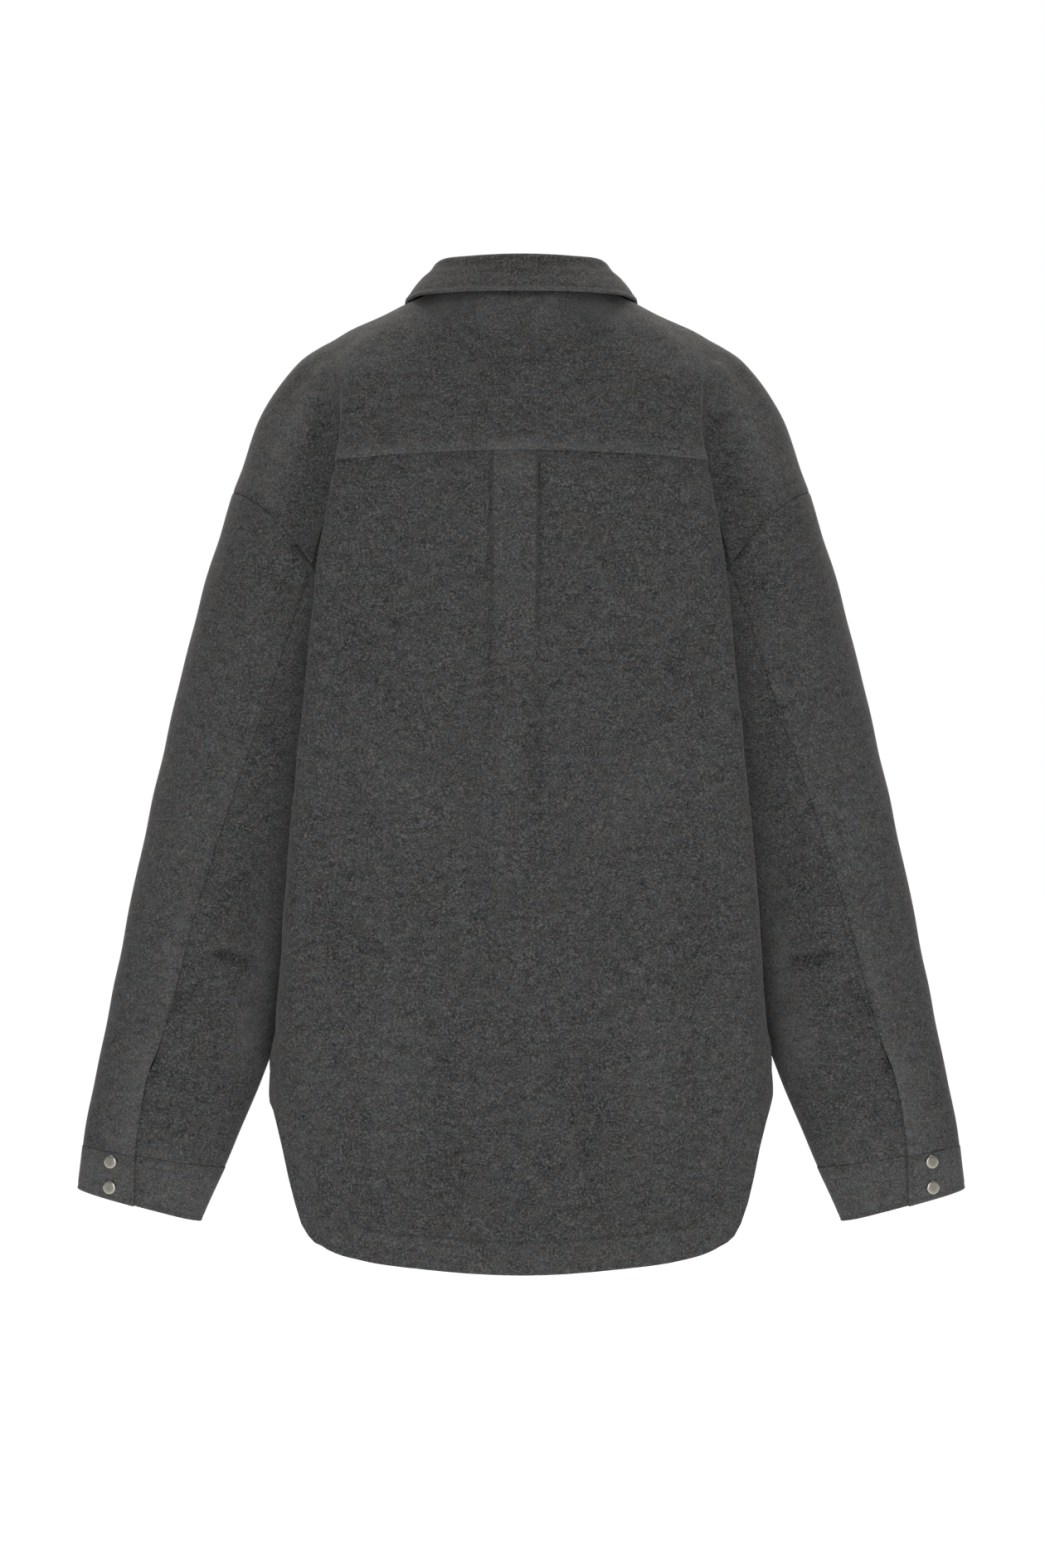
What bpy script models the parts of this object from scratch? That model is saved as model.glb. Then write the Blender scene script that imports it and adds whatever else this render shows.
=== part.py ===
"""A loose brushed-flannel overshirt, filled out as worn and modelled as the cloth walls it is sewn from.

Metres, +Z up. The front faces -Y, the back +Y, and the wearer's left is +X. The origin is on the centre
line at the base of the neck, level with the ends of the collar on the shoulders. Every panel is read
from a smooth surface through sections of the garment, and given the thickness of its cloth.
"""

import math

import bmesh
import bpy
import numpy as np
from mathutils import Vector


def columns(names, *rows):
    """A table as a dictionary: each named column is an array with one number for each row."""
    return dict(zip(names.split(), np.array(rows, float).T))


# Cloth and seams
CLOTH = 0.0018
DOUBLE_CLOTH = 0.0030
SEAM_GAP = 0.0003
ARMHOLE_GAP = 0.0011

# From one side of the centre line to the other
MIRROR = np.array((-1.0, 1.0, 1.0))
# Shares of the half girth, from the centre line to the armhole or side seam, where sections have a point
GIRTH = np.array((0.0, 0.217, 0.30, 0.38, 0.52, 0.583, 0.625, 0.675, 0.75, 0.873, 1.0))
SHOULDER_SHARE = GIRTH[3]
# How far across a section the points before the fold lie, and how far past the fold the others lie
ACROSS_BACK = np.array((0.0, 0.36, 0.52, 0.66, 0.86, 0.96))
PAST_FOLD = np.array((0.0, 0.13, 0.30, 0.65, 1.0))

# Dropped armhole: centre, half sizes, and how far its front and back rise above a flat ring
ARMHOLE_CENTRE = np.array((0.1753, -0.002, -0.208))
ARMHOLE_REACH = np.array((0.0503, 0.0, 0.062))
ARMHOLE_DEPTH = 0.075
ARMHOLE_RISE = 0.022
FORWARD_SEAM_ANGLE = -22.0

# Lines down the yoke at the shares of the girth: points on its top edge, on the ridge of the shoulder,
# behind the shoulder and half way down, and the level and armhole angle of each of the four
YOKE = columns(
    "top_x top_y top_z ridge_x ridge_y ridge_z behind_x behind_y behind_z half_x half_y half_z",
    (0.0000, 0.0660, 0.0030, 0.0000, 0.0710, -0.0100, 0.0000, 0.0810, -0.0350, 0.0000, 0.0940, -0.0750),
    (0.0440, 0.0500, 0.0070, 0.0470, 0.0540, 0.0000, 0.0490, 0.0680, -0.0230, 0.0500, 0.0885, -0.0690),
    (0.0695, 0.0120, 0.0115, 0.0730, 0.0190, 0.0085, 0.0730, 0.0500, -0.0120, 0.0750, 0.0840, -0.0650),
    (0.0715, -0.0300, 0.0075, 0.0790, 0.0010, 0.0080, 0.0890, 0.0430, -0.0095, 0.0930, 0.0805, -0.0650),
    (0.1100, -0.0325, -0.0135, 0.1125, 0.0000, -0.0085, 0.1170, 0.0450, -0.0230, 0.1190, 0.0785, -0.0700),
    (0.1350, -0.0330, -0.0270, 0.1360, 0.0000, -0.0190, 0.1350, 0.0460, -0.0345, 0.1340, 0.0790, -0.0755),
    (0.1475, -0.0330, -0.0345, 0.1475, 0.0000, -0.0258, 0.1420, 0.0450, -0.0410, 0.1395, 0.0760, -0.0790),
    (0.1570, -0.0335, -0.0410, 0.1575, 0.0000, -0.0312, 0.1490, 0.0420, -0.0465, 0.1420, 0.0640, -0.0850),
    (0.1740, -0.0340, -0.0550, 0.1752, 0.0000, -0.0438, 0.1640, 0.0410, -0.0590, 0.1520, 0.0580, -0.1000),
    (0.2030, -0.0330, -0.0960, 0.2055, -0.0010, -0.0865, 0.1930, 0.0420, -0.0950, 0.1740, 0.0630, -0.1330),
)
YOKE_PARTS = ("top", "ridge", "behind", "half")
YOKE_SECTIONS = columns(
    "level edge_angle",
    (0.003, FORWARD_SEAM_ANGLE),
    (-0.010, 0.0),
    (-0.035, 36.0),
    (-0.075, 72.0),
)
YOKE_TOP = YOKE_SECTIONS["level"][0]

# Sections of the back beside the armhole, from the yoke seam down
ARMHOLE_SECTIONS = columns(
    "centre_y centre_z fold_x fold_y fold_z roundness pinch hollow edge_angle",
    (0.1050, -0.1186, 0.1435, 0.0890, -0.1260, 3.0, 0.0035, 0.0170, 106.0),
    (0.1140, -0.1950, 0.1565, 0.0960, -0.2000, 3.0, 0.0070, 0.0147, 141.0),
)

# Level sections of the body from the underarm to below the hem
BODY_SECTIONS = columns(
    "height back fold_x fold_y roundness pinch side front front_fold_x front_fold_y front_roundness",
    (-0.270, 0.1180, 0.1630, 0.100, 3.0, 0.0115, 0.1250, -0.1180, 0.1540, -0.0900, 2.6),
    (-0.340, 0.1200, 0.1705, 0.099, 3.0, 0.0095, 0.1180, -0.1180, 0.1600, -0.0890, 2.6),
    (-0.410, 0.1200, 0.1775, 0.094, 2.9, 0.0050, 0.1345, -0.1160, 0.1680, -0.0850, 2.6),
    (-0.480, 0.1195, 0.1830, 0.085, 2.8, 0.0020, 0.1560, -0.1140, 0.1760, -0.0760, 2.5),
    (-0.550, 0.1180, 0.1885, 0.068, 2.6, 0.0000, 0.1775, -0.1120, 0.1840, -0.0600, 2.5),
    (-0.610, 0.1160, 0.1942, 0.045, 2.4, 0.0000, 0.1925, -0.1100, 0.1935, -0.0400, 2.4),
    (-0.680, 0.1140, 0.1960, 0.030, 2.4, 0.0000, 0.1945, -0.1090, 0.1950, -0.0300, 2.4),
    (-0.770, 0.1120, 0.1955, 0.025, 2.4, 0.0000, 0.1940, -0.1080, 0.1945, -0.0250, 2.4),
)
UNDERARM = BODY_SECTIONS["height"][0]

# Front neckline, from the centre front to the shoulder seam
FRONT_NECKLINE = columns(
    "neck_x neck_y neck_z",
    (0.000, -0.080, -0.062),
    (0.040, -0.070, -0.044),
    (0.062, -0.050, -0.012),
)
FRONT_RISE_SHARES = (0.0, 0.3, 0.65)
FRONT_PULL_TO_ARMHOLE = np.array((0.0, 0.0, 0.0, 0.0, 0.0, 0.0, 0.0, 0.08, 0.25, 0.6, 1.0))
FRONT_SHOULDER_GAP = 0.0004

# Shirt-tail hem: height of the edge along the girth, and the turned-up band above it
HEM = columns(
    "share height",
    (0.000, -0.7496),
    (0.240, -0.7449),
    (0.360, -0.7393),
    (0.460, -0.7300),
    (0.510, -0.7200),
    (0.530, -0.7080),
    (0.550, -0.6840),
    (0.583, -0.6405),
    (0.625, -0.6200),
    (0.700, -0.6080),
    (1.000, -0.6000),
)
HEM_TURN = 0.026
HEM_TURN_STEP = 0.0012

# Box pleat below the yoke: its centre line, half width and raised height, fading as the cloth opens out
PLEAT_CENTRE = 0.0048
PLEAT_HALF_WIDTH = 0.0172
PLEAT = columns(
    "level height edge",
    (-0.1186, 0.0046, 0.0012),
    (-0.2000, 0.0042, 0.0015),
    (-0.2700, 0.0030, 0.0030),
    (-0.3300, 0.0014, 0.0060),
    (-0.4000, 0.0004, 0.0100),
    (-0.4700, 0.0000, 0.0120),
)

# Sleeve sections: outer and inner edge seen from behind, and half depth, from the armhole to the wrist
SLEEVE = columns(
    "outer_x outer_z inner_x inner_z half_depth",
    (0.2256, -0.1460, 0.1250, -0.2700, 0.0750),
    (0.2455, -0.2090, 0.1335, -0.3110, 0.0715),
    (0.2665, -0.2890, 0.1410, -0.3660, 0.0660),
    (0.2855, -0.3710, 0.1535, -0.4280, 0.0600),
    (0.3035, -0.4530, 0.1700, -0.4940, 0.0540),
    (0.3215, -0.5440, 0.1922, -0.5750, 0.0470),
    (0.3435, -0.6570, 0.2325, -0.6735, 0.0370),
    (0.3474, -0.6910, 0.2512, -0.7165, 0.0320),
)
SLEEVE_CENTRE_Y = -0.002
# Seam at the back of the sleeve, which ends in a lapped vent, and the plain seam at its front
BACK_SEAM = columns(
    "along angle",
    (0.000, 108.0),
    (0.053, 101.0),
    (0.122, 91.0),
    (0.196, 83.3),
    (0.272, 77.8),
    (0.345, 75.2),
    (0.385, 73.0),
    (0.405, 70.6),
    (0.440, 72.8),
    (0.471, 77.0),
    (0.511, 87.0),
)
FRONT_SEAM_ANGLE = -118.0
SLEEVE_SEAM_ANGLE = 0.35
VENT_START = 0.400
VENT_FADE = 0.030
VENT_LAP_ANGLE = 15.0
VENT_DROP = 0.0024
VENT_DROP_ANGLE = 34.0

# Cuffs
CUFF_PROUD = 0.0008
CUFF_LAP_ANGLE = 24.0
CUFF_LAP_DROP = 0.0038
CUFF_LAP_FADE = 60.0

# Collar: rings at the foot and the top of the stand, and the free edge of the leaf, from back to front
NECKLINE_BACK = columns("angle share", (0.0, 0.0), (41.0, 0.217), (80.0, 0.30), (113.0, 0.38))
NECKLINE_FRONT = columns(
    "angle share",
    (113.0, 0.38),
    (129.0, 0.30),
    (150.0, 0.217),
    (180.0, 0.0),
    (210.0, -0.217),
)
COLLAR = columns(
    "angle top_x top_y top_z edge_x edge_y edge_z",
    (0.0, 0.0000, 0.0545, 0.0308, 0.0000, 0.0830, 0.0060),
    (41.0, 0.0360, 0.0420, 0.0304, 0.0560, 0.0690, 0.0060),
    (80.0, 0.0595, 0.0100, 0.0299, 0.0862, 0.0215, 0.0052),
    (113.0, 0.0585, -0.0270, 0.0240, 0.0925, -0.0420, -0.0022),
    (129.0, 0.0510, -0.0430, 0.0110, 0.0930, -0.0785, -0.0275),
    (150.0, 0.0350, -0.0600, -0.0140, 0.0790, -0.1110, -0.0775),
    (180.0, 0.0000, -0.0700, -0.0300, 0.0360, -0.1280, -0.1360),
    (210.0, -0.0350, -0.0600, -0.0140, 0.0000, -0.1300, -0.1700),
)
STAND_LIFT = 0.0010
STAND_LAP_ANGLE = 12.0
STAND_LAP_STEP = 0.0018
STAND_LAP_FADE = 40.0
LEAF_END_ANGLE = 164.0
# Roll of the leaf over the stand: outward and upward from the top of the stand, ahead of the straight fall
LEAF_ROLL = columns(
    "outward upward",
    (-0.0017, 0.0027),
    (-0.0008, 0.0047),
    (0.0024, 0.0056),
    (0.0060, 0.0040),
    (0.0092, -0.0004),
)
LEAF_BELLY = 0.0012
LEAF_CLOTH = 0.0026
# Shares of the leaf's profile, from inside the neck over the roll to the free edge
LEAF_FALL = np.array((0.0, 0.06, 0.13, 0.21, 0.29, 0.53, 0.77, 1.0))
LEAF_ROLL_SHARE = LEAF_FALL[len(LEAF_ROLL["outward"]) - 1]

# Fronts: half the lap past the centre line, and how far the two layers stand apart there
FRONT_LAP = 0.016
FRONT_LAP_STEP = 0.0020
FRONT_LAP_FADE = 0.060

# Snap caps
SNAP_RADIUS = 0.0055
SNAP_DOME = 0.0021
SNAP_RIM = 0.0007
SNAP_SIDES = 14
SNAP_TURNS = np.radians((0.0, 30.0, 60.0, 90.0))
CUFF_SNAPS = columns("along angle", (0.4790, 57.5), (0.5005, 61.5))
FRONT_SNAP_HEIGHTS = (-0.100, -0.195, -0.290, -0.385, -0.480, -0.575)

LEFT, RIGHT = 1.0, -1.0
SIDES = {"left": LEFT, "right": RIGHT}

# Rows and columns of points in each wall, in shares of the half girth and in levels for the body
BODY_COLUMNS = np.array(
    (0.16, 0.24, 0.32, 0.40, 0.46, 0.50, 0.53, 0.55, 0.583, 0.605, 0.625, 0.65, 0.69, 0.76, 0.84, 0.92, 1.0)
)
PLEAT_COLUMNS = np.array(
    (-0.105, -0.072, -0.062, -0.053, -0.044, -0.034, 0.020, 0.076, 0.085, 0.0935, 0.102, 0.112)
)
FRONT_COLUMNS = np.array(
    (-0.063, 0.0, 0.06, 0.12, 0.17, 0.217, 0.26, 0.30, 0.34, 0.38)
    + (0.46, 0.50, 0.53, 0.55, 0.583, 0.625, 0.69, 0.76, 0.84, 0.92, 1.0)
)
YOKE_COLUMNS = np.array(
    (0.07, 0.14, 0.217, 0.26, 0.30, 0.34, 0.38, 0.46, 0.52)
    + (0.55, 0.583, 0.605, 0.625, 0.65, 0.69, 0.76, 0.84, 0.92, 1.0)
)
YOKE_ROWS = (-0.1186, -0.098, -0.075, -0.054, -0.035, -0.020, -0.0085, 0.003)
BACK_ROWS = 16
BACK_CROWDING = 1.0
FRONT_ROWS = 14
FRONT_CROWDING = 1.5
SLEEVE_ROWS = 14
SLEEVE_COLUMNS = 15
CUFF_ROWS = 4
CUFF_COLUMNS = 33
STAND_ROWS = 3
STAND_COLUMNS = 37
LEAF_COLUMNS = 33
TRIM_SHARE = 0.02

# Small steps along a surface's two parameters, from which its normals are worked out
BODY_STEPS = (0.002, 0.0005)
SLEEVE_STEPS = (0.5, 0.0005)
COLLAR_STEPS = (0.5, 0.002)

CHARCOAL = (0.060, 0.060, 0.059, 1.0)
SATIN_STEEL = (0.62, 0.62, 0.60, 1.0)


def points_of(table, part):
    """The points that a table gives in the three columns named for a part."""
    return np.column_stack([table[f"{part}_{axis}"] for axis in "xyz"])


def smooth_step(share):
    """Rises from 0 to 1 with level ends."""
    share = np.clip(share, 0.0, 1.0)
    return share * share * (3.0 - 2.0 * share)


def read_curve(knots, values, at):
    """Reads the smooth curve through values, one for each knot, at the given numbers.

    Each value may itself hold a set of points, one for each number, so that a net of sections is read too.
    """
    knots = np.asarray(knots, float)
    values = np.asarray(values, float)
    if knots[0] > knots[-1]:
        knots = knots[::-1]
        values = values[::-1]
    slopes = np.gradient(values, knots, axis=0)
    at = np.asarray(at, float)
    low = np.clip(np.searchsorted(knots, at) - 1, 0, len(knots) - 2)
    step = knots[low + 1] - knots[low]
    share = (at - knots[low]) / step
    if values.ndim == 3:
        each = np.arange(len(at))
        start, end = values[low, each], values[low + 1, each]
        leave, arrive = slopes[low, each], slopes[low + 1, each]
    else:
        start, end = values[low], values[low + 1]
        leave, arrive = slopes[low], slopes[low + 1]
    if values.ndim > 1:
        share = share[:, None]
        step = step[:, None]
    squared = share * share
    cubed = squared * share
    return (
        start * (2 * cubed - 3 * squared + 1)
        + end * (3 * squared - 2 * cubed)
        + leave * step * (cubed - 2 * squared + share)
        + arrive * step * (cubed - squared)
    )


def past_centre(knots, values, mirror=1.0):
    """Knots and values carried one step past the centre line, so that a curve crosses it without a corner."""
    return np.append(-knots[1], knots), np.concatenate((values[1:2] * mirror, values))


def armhole(angle):
    """Points of the left armhole: 0 degrees on top of the arm, 90 behind it, 180 under it."""
    turn = np.radians(angle)[..., None]
    depth = np.array((0.0, ARMHOLE_DEPTH, 0.0))
    rise = np.array((0.0, 0.0, ARMHOLE_RISE))
    return ARMHOLE_CENTRE + ARMHOLE_REACH * np.cos(turn) + depth * np.sin(turn) + rise * np.sin(turn) ** 2


def section(centre, fold, edge, roundness, pinch=0.0, hollow=0.0):
    """Points of half a section: a flat round from the centre to the fold, then inwards to the edge."""
    centre, fold, edge = (np.asarray(point, float) for point in (centre, fold, edge))
    height = (1.0 - ACROSS_BACK**roundness) ** (1.0 / roundness)
    before = np.column_stack(
        (
            fold[0] * ACROSS_BACK,
            fold[1] + (centre[1] - fold[1]) * height,
            centre[2] + (fold[2] - centre[2]) * ACROSS_BACK**2,
        )
    )
    dip = np.sin(math.pi * PAST_FOLD**0.6)
    side = np.sign(centre[1])
    after = np.column_stack(
        (
            fold[0] + (edge[0] - fold[0]) * smooth_step(PAST_FOLD) - pinch * dip,
            fold[1] + (edge[1] - fold[1]) * PAST_FOLD - side * hollow * dip,
            fold[2] + (edge[2] - fold[2]) * PAST_FOLD,
        )
    )
    return np.vstack((before, after))


def level_sections(side):
    """Sections of the body below the underarm, bottom first, for the back (1) or a front (-1)."""
    body = BODY_SECTIONS
    prefix = "" if side > 0 else "front_"
    depth = body["back"] if side > 0 else body["front"]
    rows = []
    for i in reversed(range(len(body["height"]))):
        z = body["height"][i]
        centre = (0.0, depth[i], z)
        fold = (body[prefix + "fold_x"][i], body[prefix + "fold_y"][i], z)
        edge = (body["side"][i], 0.0, z)
        rows.append(section(centre, fold, edge, body[prefix + "roundness"][i], body["pinch"][i]))
    return list(body["height"][::-1]), rows, [180.0 * side] * len(rows)


def back_net():
    """Levels, sections and armhole angles of the back and yoke, from below the hem to the top edge."""
    levels, rows, angles = level_sections(1)
    arm = ARMHOLE_SECTIONS
    for i in reversed(range(len(arm["centre_z"]))):
        centre = (0.0, arm["centre_y"][i], arm["centre_z"][i])
        fold = (arm["fold_x"][i], arm["fold_y"][i], arm["fold_z"][i])
        edge = armhole(arm["edge_angle"][i])
        rows.append(section(centre, fold, edge, arm["roundness"][i], arm["pinch"][i], arm["hollow"][i]))
        levels.append(arm["centre_z"][i])
        angles.append(arm["edge_angle"][i])
    yoke = YOKE_SECTIONS
    for i in reversed(range(len(YOKE_PARTS))):
        rows.append(np.vstack((points_of(YOKE, YOKE_PARTS[i]), armhole(yoke["edge_angle"][i]))))
        levels.append(yoke["level"][i])
        angles.append(yoke["edge_angle"][i])
    return np.array(levels), np.array(rows), np.array(angles)


def front_net():
    """Levels, sections and armhole angles of a front, from below the hem to the neck and shoulder."""
    levels, rows, angles = level_sections(-1)
    under = rows[-1]
    neck = points_of(FRONT_NECKLINE, "neck")
    shoulder = points_of(YOKE, "top")[len(neck):]
    top = np.vstack((neck, shoulder, armhole(FORWARD_SEAM_ANGLE)))
    for share in reversed(FRONT_RISE_SHARES):
        turn = share * math.pi / 2
        way = np.array((share, math.sin(turn), 1.0 - math.cos(turn)))
        row = top + (under - top) * way
        angle = FORWARD_SEAM_ANGLE - (180.0 + FORWARD_SEAM_ANGLE) * share
        row = row + FRONT_PULL_TO_ARMHOLE[:, None] * (armhole(angle) - row[-1])
        rows.append(row)
        levels.append(row[0][2])
        angles.append(angle)
    return np.array(levels), np.array(rows), np.array(angles)


BACK_NET = back_net()
FRONT_NET = front_net()
FRONT_TOP = FRONT_NET[0][-1]


def edge_angle(net, level):
    """Angle round the armhole where a panel's edge lies at a level above the underarm."""
    levels, _, angles = net
    above = levels >= UNDERARM
    return read_curve(levels[above], angles[above], np.maximum(level, UNDERARM))


def edge_line(net, level):
    """The armhole above the underarm and the side seam below it, at the levels of a panel."""
    body = BODY_SECTIONS
    side = read_curve(body["height"], body["side"], level)
    seam = np.column_stack((side, np.zeros_like(side), level))
    ring = armhole(edge_angle(net, level))
    return np.where((level > UNDERARM)[:, None], ring, seam)


def read_net(net, share, level):
    """Points of a panel at shares of the half girth and levels, two arrays of one shape."""
    levels, rows, _ = net
    flat_share = np.abs(share).ravel()
    flat_level = level.ravel()
    across = np.array([read_curve(*past_centre(GIRTH, row, MIRROR), flat_share) for row in rows])
    points = read_curve(levels, across, flat_level)
    ends = read_curve(levels, rows[:, -1], flat_level)
    near_edge = smooth_step((flat_share - GIRTH[-3]) / (1.0 - GIRTH[-3]))
    points += near_edge[:, None] * (edge_line(net, flat_level) - ends)
    points[:, 0] *= np.where(share.ravel() < 0, -1.0, 1.0)
    return points.reshape(share.shape + (3,))


def yoke_surface(share, level):
    """The outer face of the yoke."""
    return read_net(BACK_NET, share, level)


def back_surface(share, level):
    """The outer face of the back, with the box pleat raised on it."""
    points = read_net(BACK_NET, share, level)
    shown = np.clip(level, PLEAT["level"][-1], PLEAT["level"][0])
    height = read_curve(PLEAT["level"], PLEAT["height"], shown)
    edge = read_curve(PLEAT["level"], PLEAT["edge"], shown)
    inside = PLEAT_HALF_WIDTH - np.abs(points[..., 0] - PLEAT_CENTRE)
    points[..., 1] += height * smooth_step(0.5 + 0.5 * inside / edge)
    return points


def front_points(share, level):
    """Points of a left front, whose shoulder edge follows the yoke's."""
    points = read_net(FRONT_NET, share, level)
    below = FRONT_NET[0][-2]
    shoulder = np.maximum(np.abs(share), SHOULDER_SHARE)
    yoke_edge = read_net(BACK_NET, shoulder, np.full_like(level, YOKE_TOP))
    own_edge = read_net(FRONT_NET, shoulder, np.full_like(level, FRONT_TOP))
    near = smooth_step((level - below) / (FRONT_TOP - below)) * (np.abs(share) > SHOULDER_SHARE)
    return points + near[..., None] * (yoke_edge - own_edge)


def front_surface(lift):
    """The outer face of a left front, moved out by lift where the two fronts lap."""

    def surface(share, level):
        points = front_points(share, level)
        near = 1.0 - smooth_step((points[..., 0] - FRONT_LAP) / FRONT_LAP_FADE)
        points[..., 1] -= lift * near
        return points

    return surface


SLEEVE_OUTER = np.column_stack((SLEEVE["outer_x"], SLEEVE["outer_z"]))
SLEEVE_INNER = np.column_stack((SLEEVE["inner_x"], SLEEVE["inner_z"]))
SLEEVE_CENTRES = (SLEEVE_OUTER + SLEEVE_INNER) / 2
SLEEVE_REACHES = (SLEEVE_OUTER - SLEEVE_INNER) / 2
SLEEVE_ALONG = np.append(0.0, np.cumsum(np.linalg.norm(np.diff(SLEEVE_CENTRES, axis=0), axis=1)))
CUFF_TOP = SLEEVE_ALONG[-2]
WRIST = SLEEVE_ALONG[-1]


def sleeve_surface(angle, along):
    """The outer face of the left sleeve: 0 degrees on the outer side, 90 behind, 180 beside the body."""
    turn = np.radians(angle).ravel()
    far = along.ravel()
    centre = read_curve(SLEEVE_ALONG, SLEEVE_CENTRES, far)
    reach = read_curve(SLEEVE_ALONG, SLEEVE_REACHES, far)
    depth = read_curve(SLEEVE_ALONG, SLEEVE["half_depth"], far)
    rise = ARMHOLE_RISE * (1.0 - smooth_step(far / SLEEVE_ALONG[2]))
    x = centre[:, 0] + reach[:, 0] * np.cos(turn)
    y = SLEEVE_CENTRE_Y + depth * np.sin(turn)
    z = centre[:, 1] + reach[:, 1] * np.cos(turn) + rise * np.sin(turn) ** 2
    return np.column_stack((x, y, z)).reshape(angle.shape + (3,))


def back_seam_angle(along):
    """Angle of the sleeve's back seam and, below it, of the vent's edge and the cuff's outer end."""
    return read_curve(BACK_SEAM["along"], BACK_SEAM["angle"], along)


def sunk(surface, depth, steps):
    """A surface pushed in along its normals by a depth that varies over it."""

    def pushed(first, second):
        outward = -normals_of(surface, first, second, *steps)
        return surface(first, second) - outward * depth(first, second)[..., None]

    return pushed


def vent_drop(angle, along):
    """How far the under sleeve lies below the upper one, beside the vent and under its lap."""
    beside = 1.0 - smooth_step((angle - back_seam_angle(along)) / VENT_DROP_ANGLE)
    return VENT_DROP * beside * smooth_step((along - VENT_START + VENT_FADE) / VENT_FADE)


def cuff_drop(angle, along):
    """Depth of the cuff band below its proud outer end, falling away where it passes under that end."""
    travel = back_seam_angle(along) - angle
    return CUFF_LAP_DROP * smooth_step((travel - 360.0 + CUFF_LAP_FADE) / CUFF_LAP_FADE) - CUFF_PROUD


def neckline(angle):
    """Points of the neckline that the yoke and the fronts leave for the stand, on either side."""
    size = np.abs(angle)
    back_share = read_curve(NECKLINE_BACK["angle"], NECKLINE_BACK["share"], size)
    front_share = read_curve(NECKLINE_FRONT["angle"], NECKLINE_FRONT["share"], size)
    behind = yoke_surface(back_share, np.full_like(size, YOKE_TOP))
    ahead = front_points(front_share, np.full_like(size, FRONT_TOP))
    points = np.where((size > NECKLINE_FRONT["angle"][0])[:, None], ahead, behind)
    points[:, 0] *= np.where(angle < 0, -1.0, 1.0)
    return points


def collar_point(part, angle):
    """A point of one of the collar's rings: the top of its stand or its free edge, on either side."""
    ring = past_centre(COLLAR["angle"], points_of(COLLAR, part), MIRROR)
    points = read_curve(*ring, np.abs(angle))
    points[:, 0] *= np.where(angle < 0, -1.0, 1.0)
    return points


def stand_surface(angle, rise):
    """The outer face of the stand, whose right end laps over the left one at the front."""
    flat = angle.ravel()
    foot = neckline(flat)
    upward = collar_point("top", flat) - foot
    points = foot + unit(upward) * STAND_LIFT + upward * rise.ravel()[:, None]
    lap = smooth_step((np.abs(flat) - 180.0 + STAND_LAP_FADE) / STAND_LAP_FADE)
    points[:, 1] += STAND_LAP_STEP * lap * np.sign(flat)
    return points.reshape(angle.shape + (3,))


def leaf_surface(angle, fall):
    """The outer face of the leaf: it rolls over the stand and falls straight to its free edge."""
    flat = angle.ravel()
    top = collar_point("top", flat)
    edge = collar_point("edge", flat)
    out = (edge - top) * np.array((1.0, 1.0, 0.0))
    out /= np.linalg.norm(out, axis=1, keepdims=True)
    up = np.array((0.0, 0.0, 1.0))
    rows = [top + out * a + up * b for a, b in zip(LEAF_ROLL["outward"], LEAF_ROLL["upward"])]
    start = rows[-1]
    for share in LEAF_FALL[len(rows):]:
        way = (share - LEAF_ROLL_SHARE) / (1.0 - LEAF_ROLL_SHARE)
        belly = LEAF_BELLY * math.sin(math.pi * way)
        rows.append(start + (edge - start) * way + (out + up) * belly)
    return read_curve(LEAF_FALL, np.array(rows), fall.ravel()).reshape(angle.shape + (3,))


def unit(vectors):
    return vectors / np.linalg.norm(vectors, axis=-1, keepdims=True)


def normals_of(surface, first, second, first_step, second_step):
    """Normals of a surface from small steps along its two parameters."""
    along_first = surface(first + first_step, second) - surface(first - first_step, second)
    along_second = surface(first, second + second_step) - surface(first, second - second_step)
    return unit(np.cross(along_first, along_second))


def material(name, colour, roughness, metallic):
    made = bpy.data.materials.new(name)
    made.use_nodes = True
    shader = made.node_tree.nodes["Principled BSDF"]
    shader.inputs["Base Color"].default_value = colour
    shader.inputs["Roughness"].default_value = roughness
    shader.inputs["Metallic"].default_value = metallic
    return made


def place(name, mesh, colour, roughness, metallic):
    """An object of the shirt, smooth but for its rims, with its own material."""
    mesh.shade_smooth()
    mesh.set_sharp_from_angle(angle=math.radians(50.0))
    mesh.materials.append(material(name + "_finish", colour, roughness, metallic))
    made = bpy.data.objects.new(name, mesh)
    SHIRT.objects.link(made)
    return made


def cloth_wall(name, outer, inner):
    """A closed wall lofted between two grids of points that face each other."""
    count_rows, count_columns = outer.shape[:2]
    layer = count_rows * count_columns
    number = np.arange(layer).reshape(count_rows, count_columns)
    faces = []
    for row in range(count_rows - 1):
        for column in range(count_columns - 1):
            near = number[row, column : column + 2]
            far = number[row + 1, column : column + 2]
            corners = list(near) + list(far[::-1])
            faces.append(corners)
            faces.append([corner + layer for corner in reversed(corners)])
    rim = np.concatenate((number[0], number[1:, -1], number[-1, -2::-1], number[-2:0:-1, 0]))
    for here, there in zip(rim, np.roll(rim, -1)):
        faces.append([there, here, here + layer, there + layer])
    mesh = bpy.data.meshes.new(name)
    points = np.vstack((outer.reshape(-1, 3), inner.reshape(-1, 3)))
    mesh.from_pydata(points.tolist(), [], [[int(corner) for corner in face] for face in faces])
    shell = bmesh.new()
    shell.from_mesh(mesh)
    bmesh.ops.recalc_face_normals(shell, faces=shell.faces)
    shell.to_mesh(mesh)
    shell.free()
    place(name, mesh, CHARCOAL, 0.95, 0.0)


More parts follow.
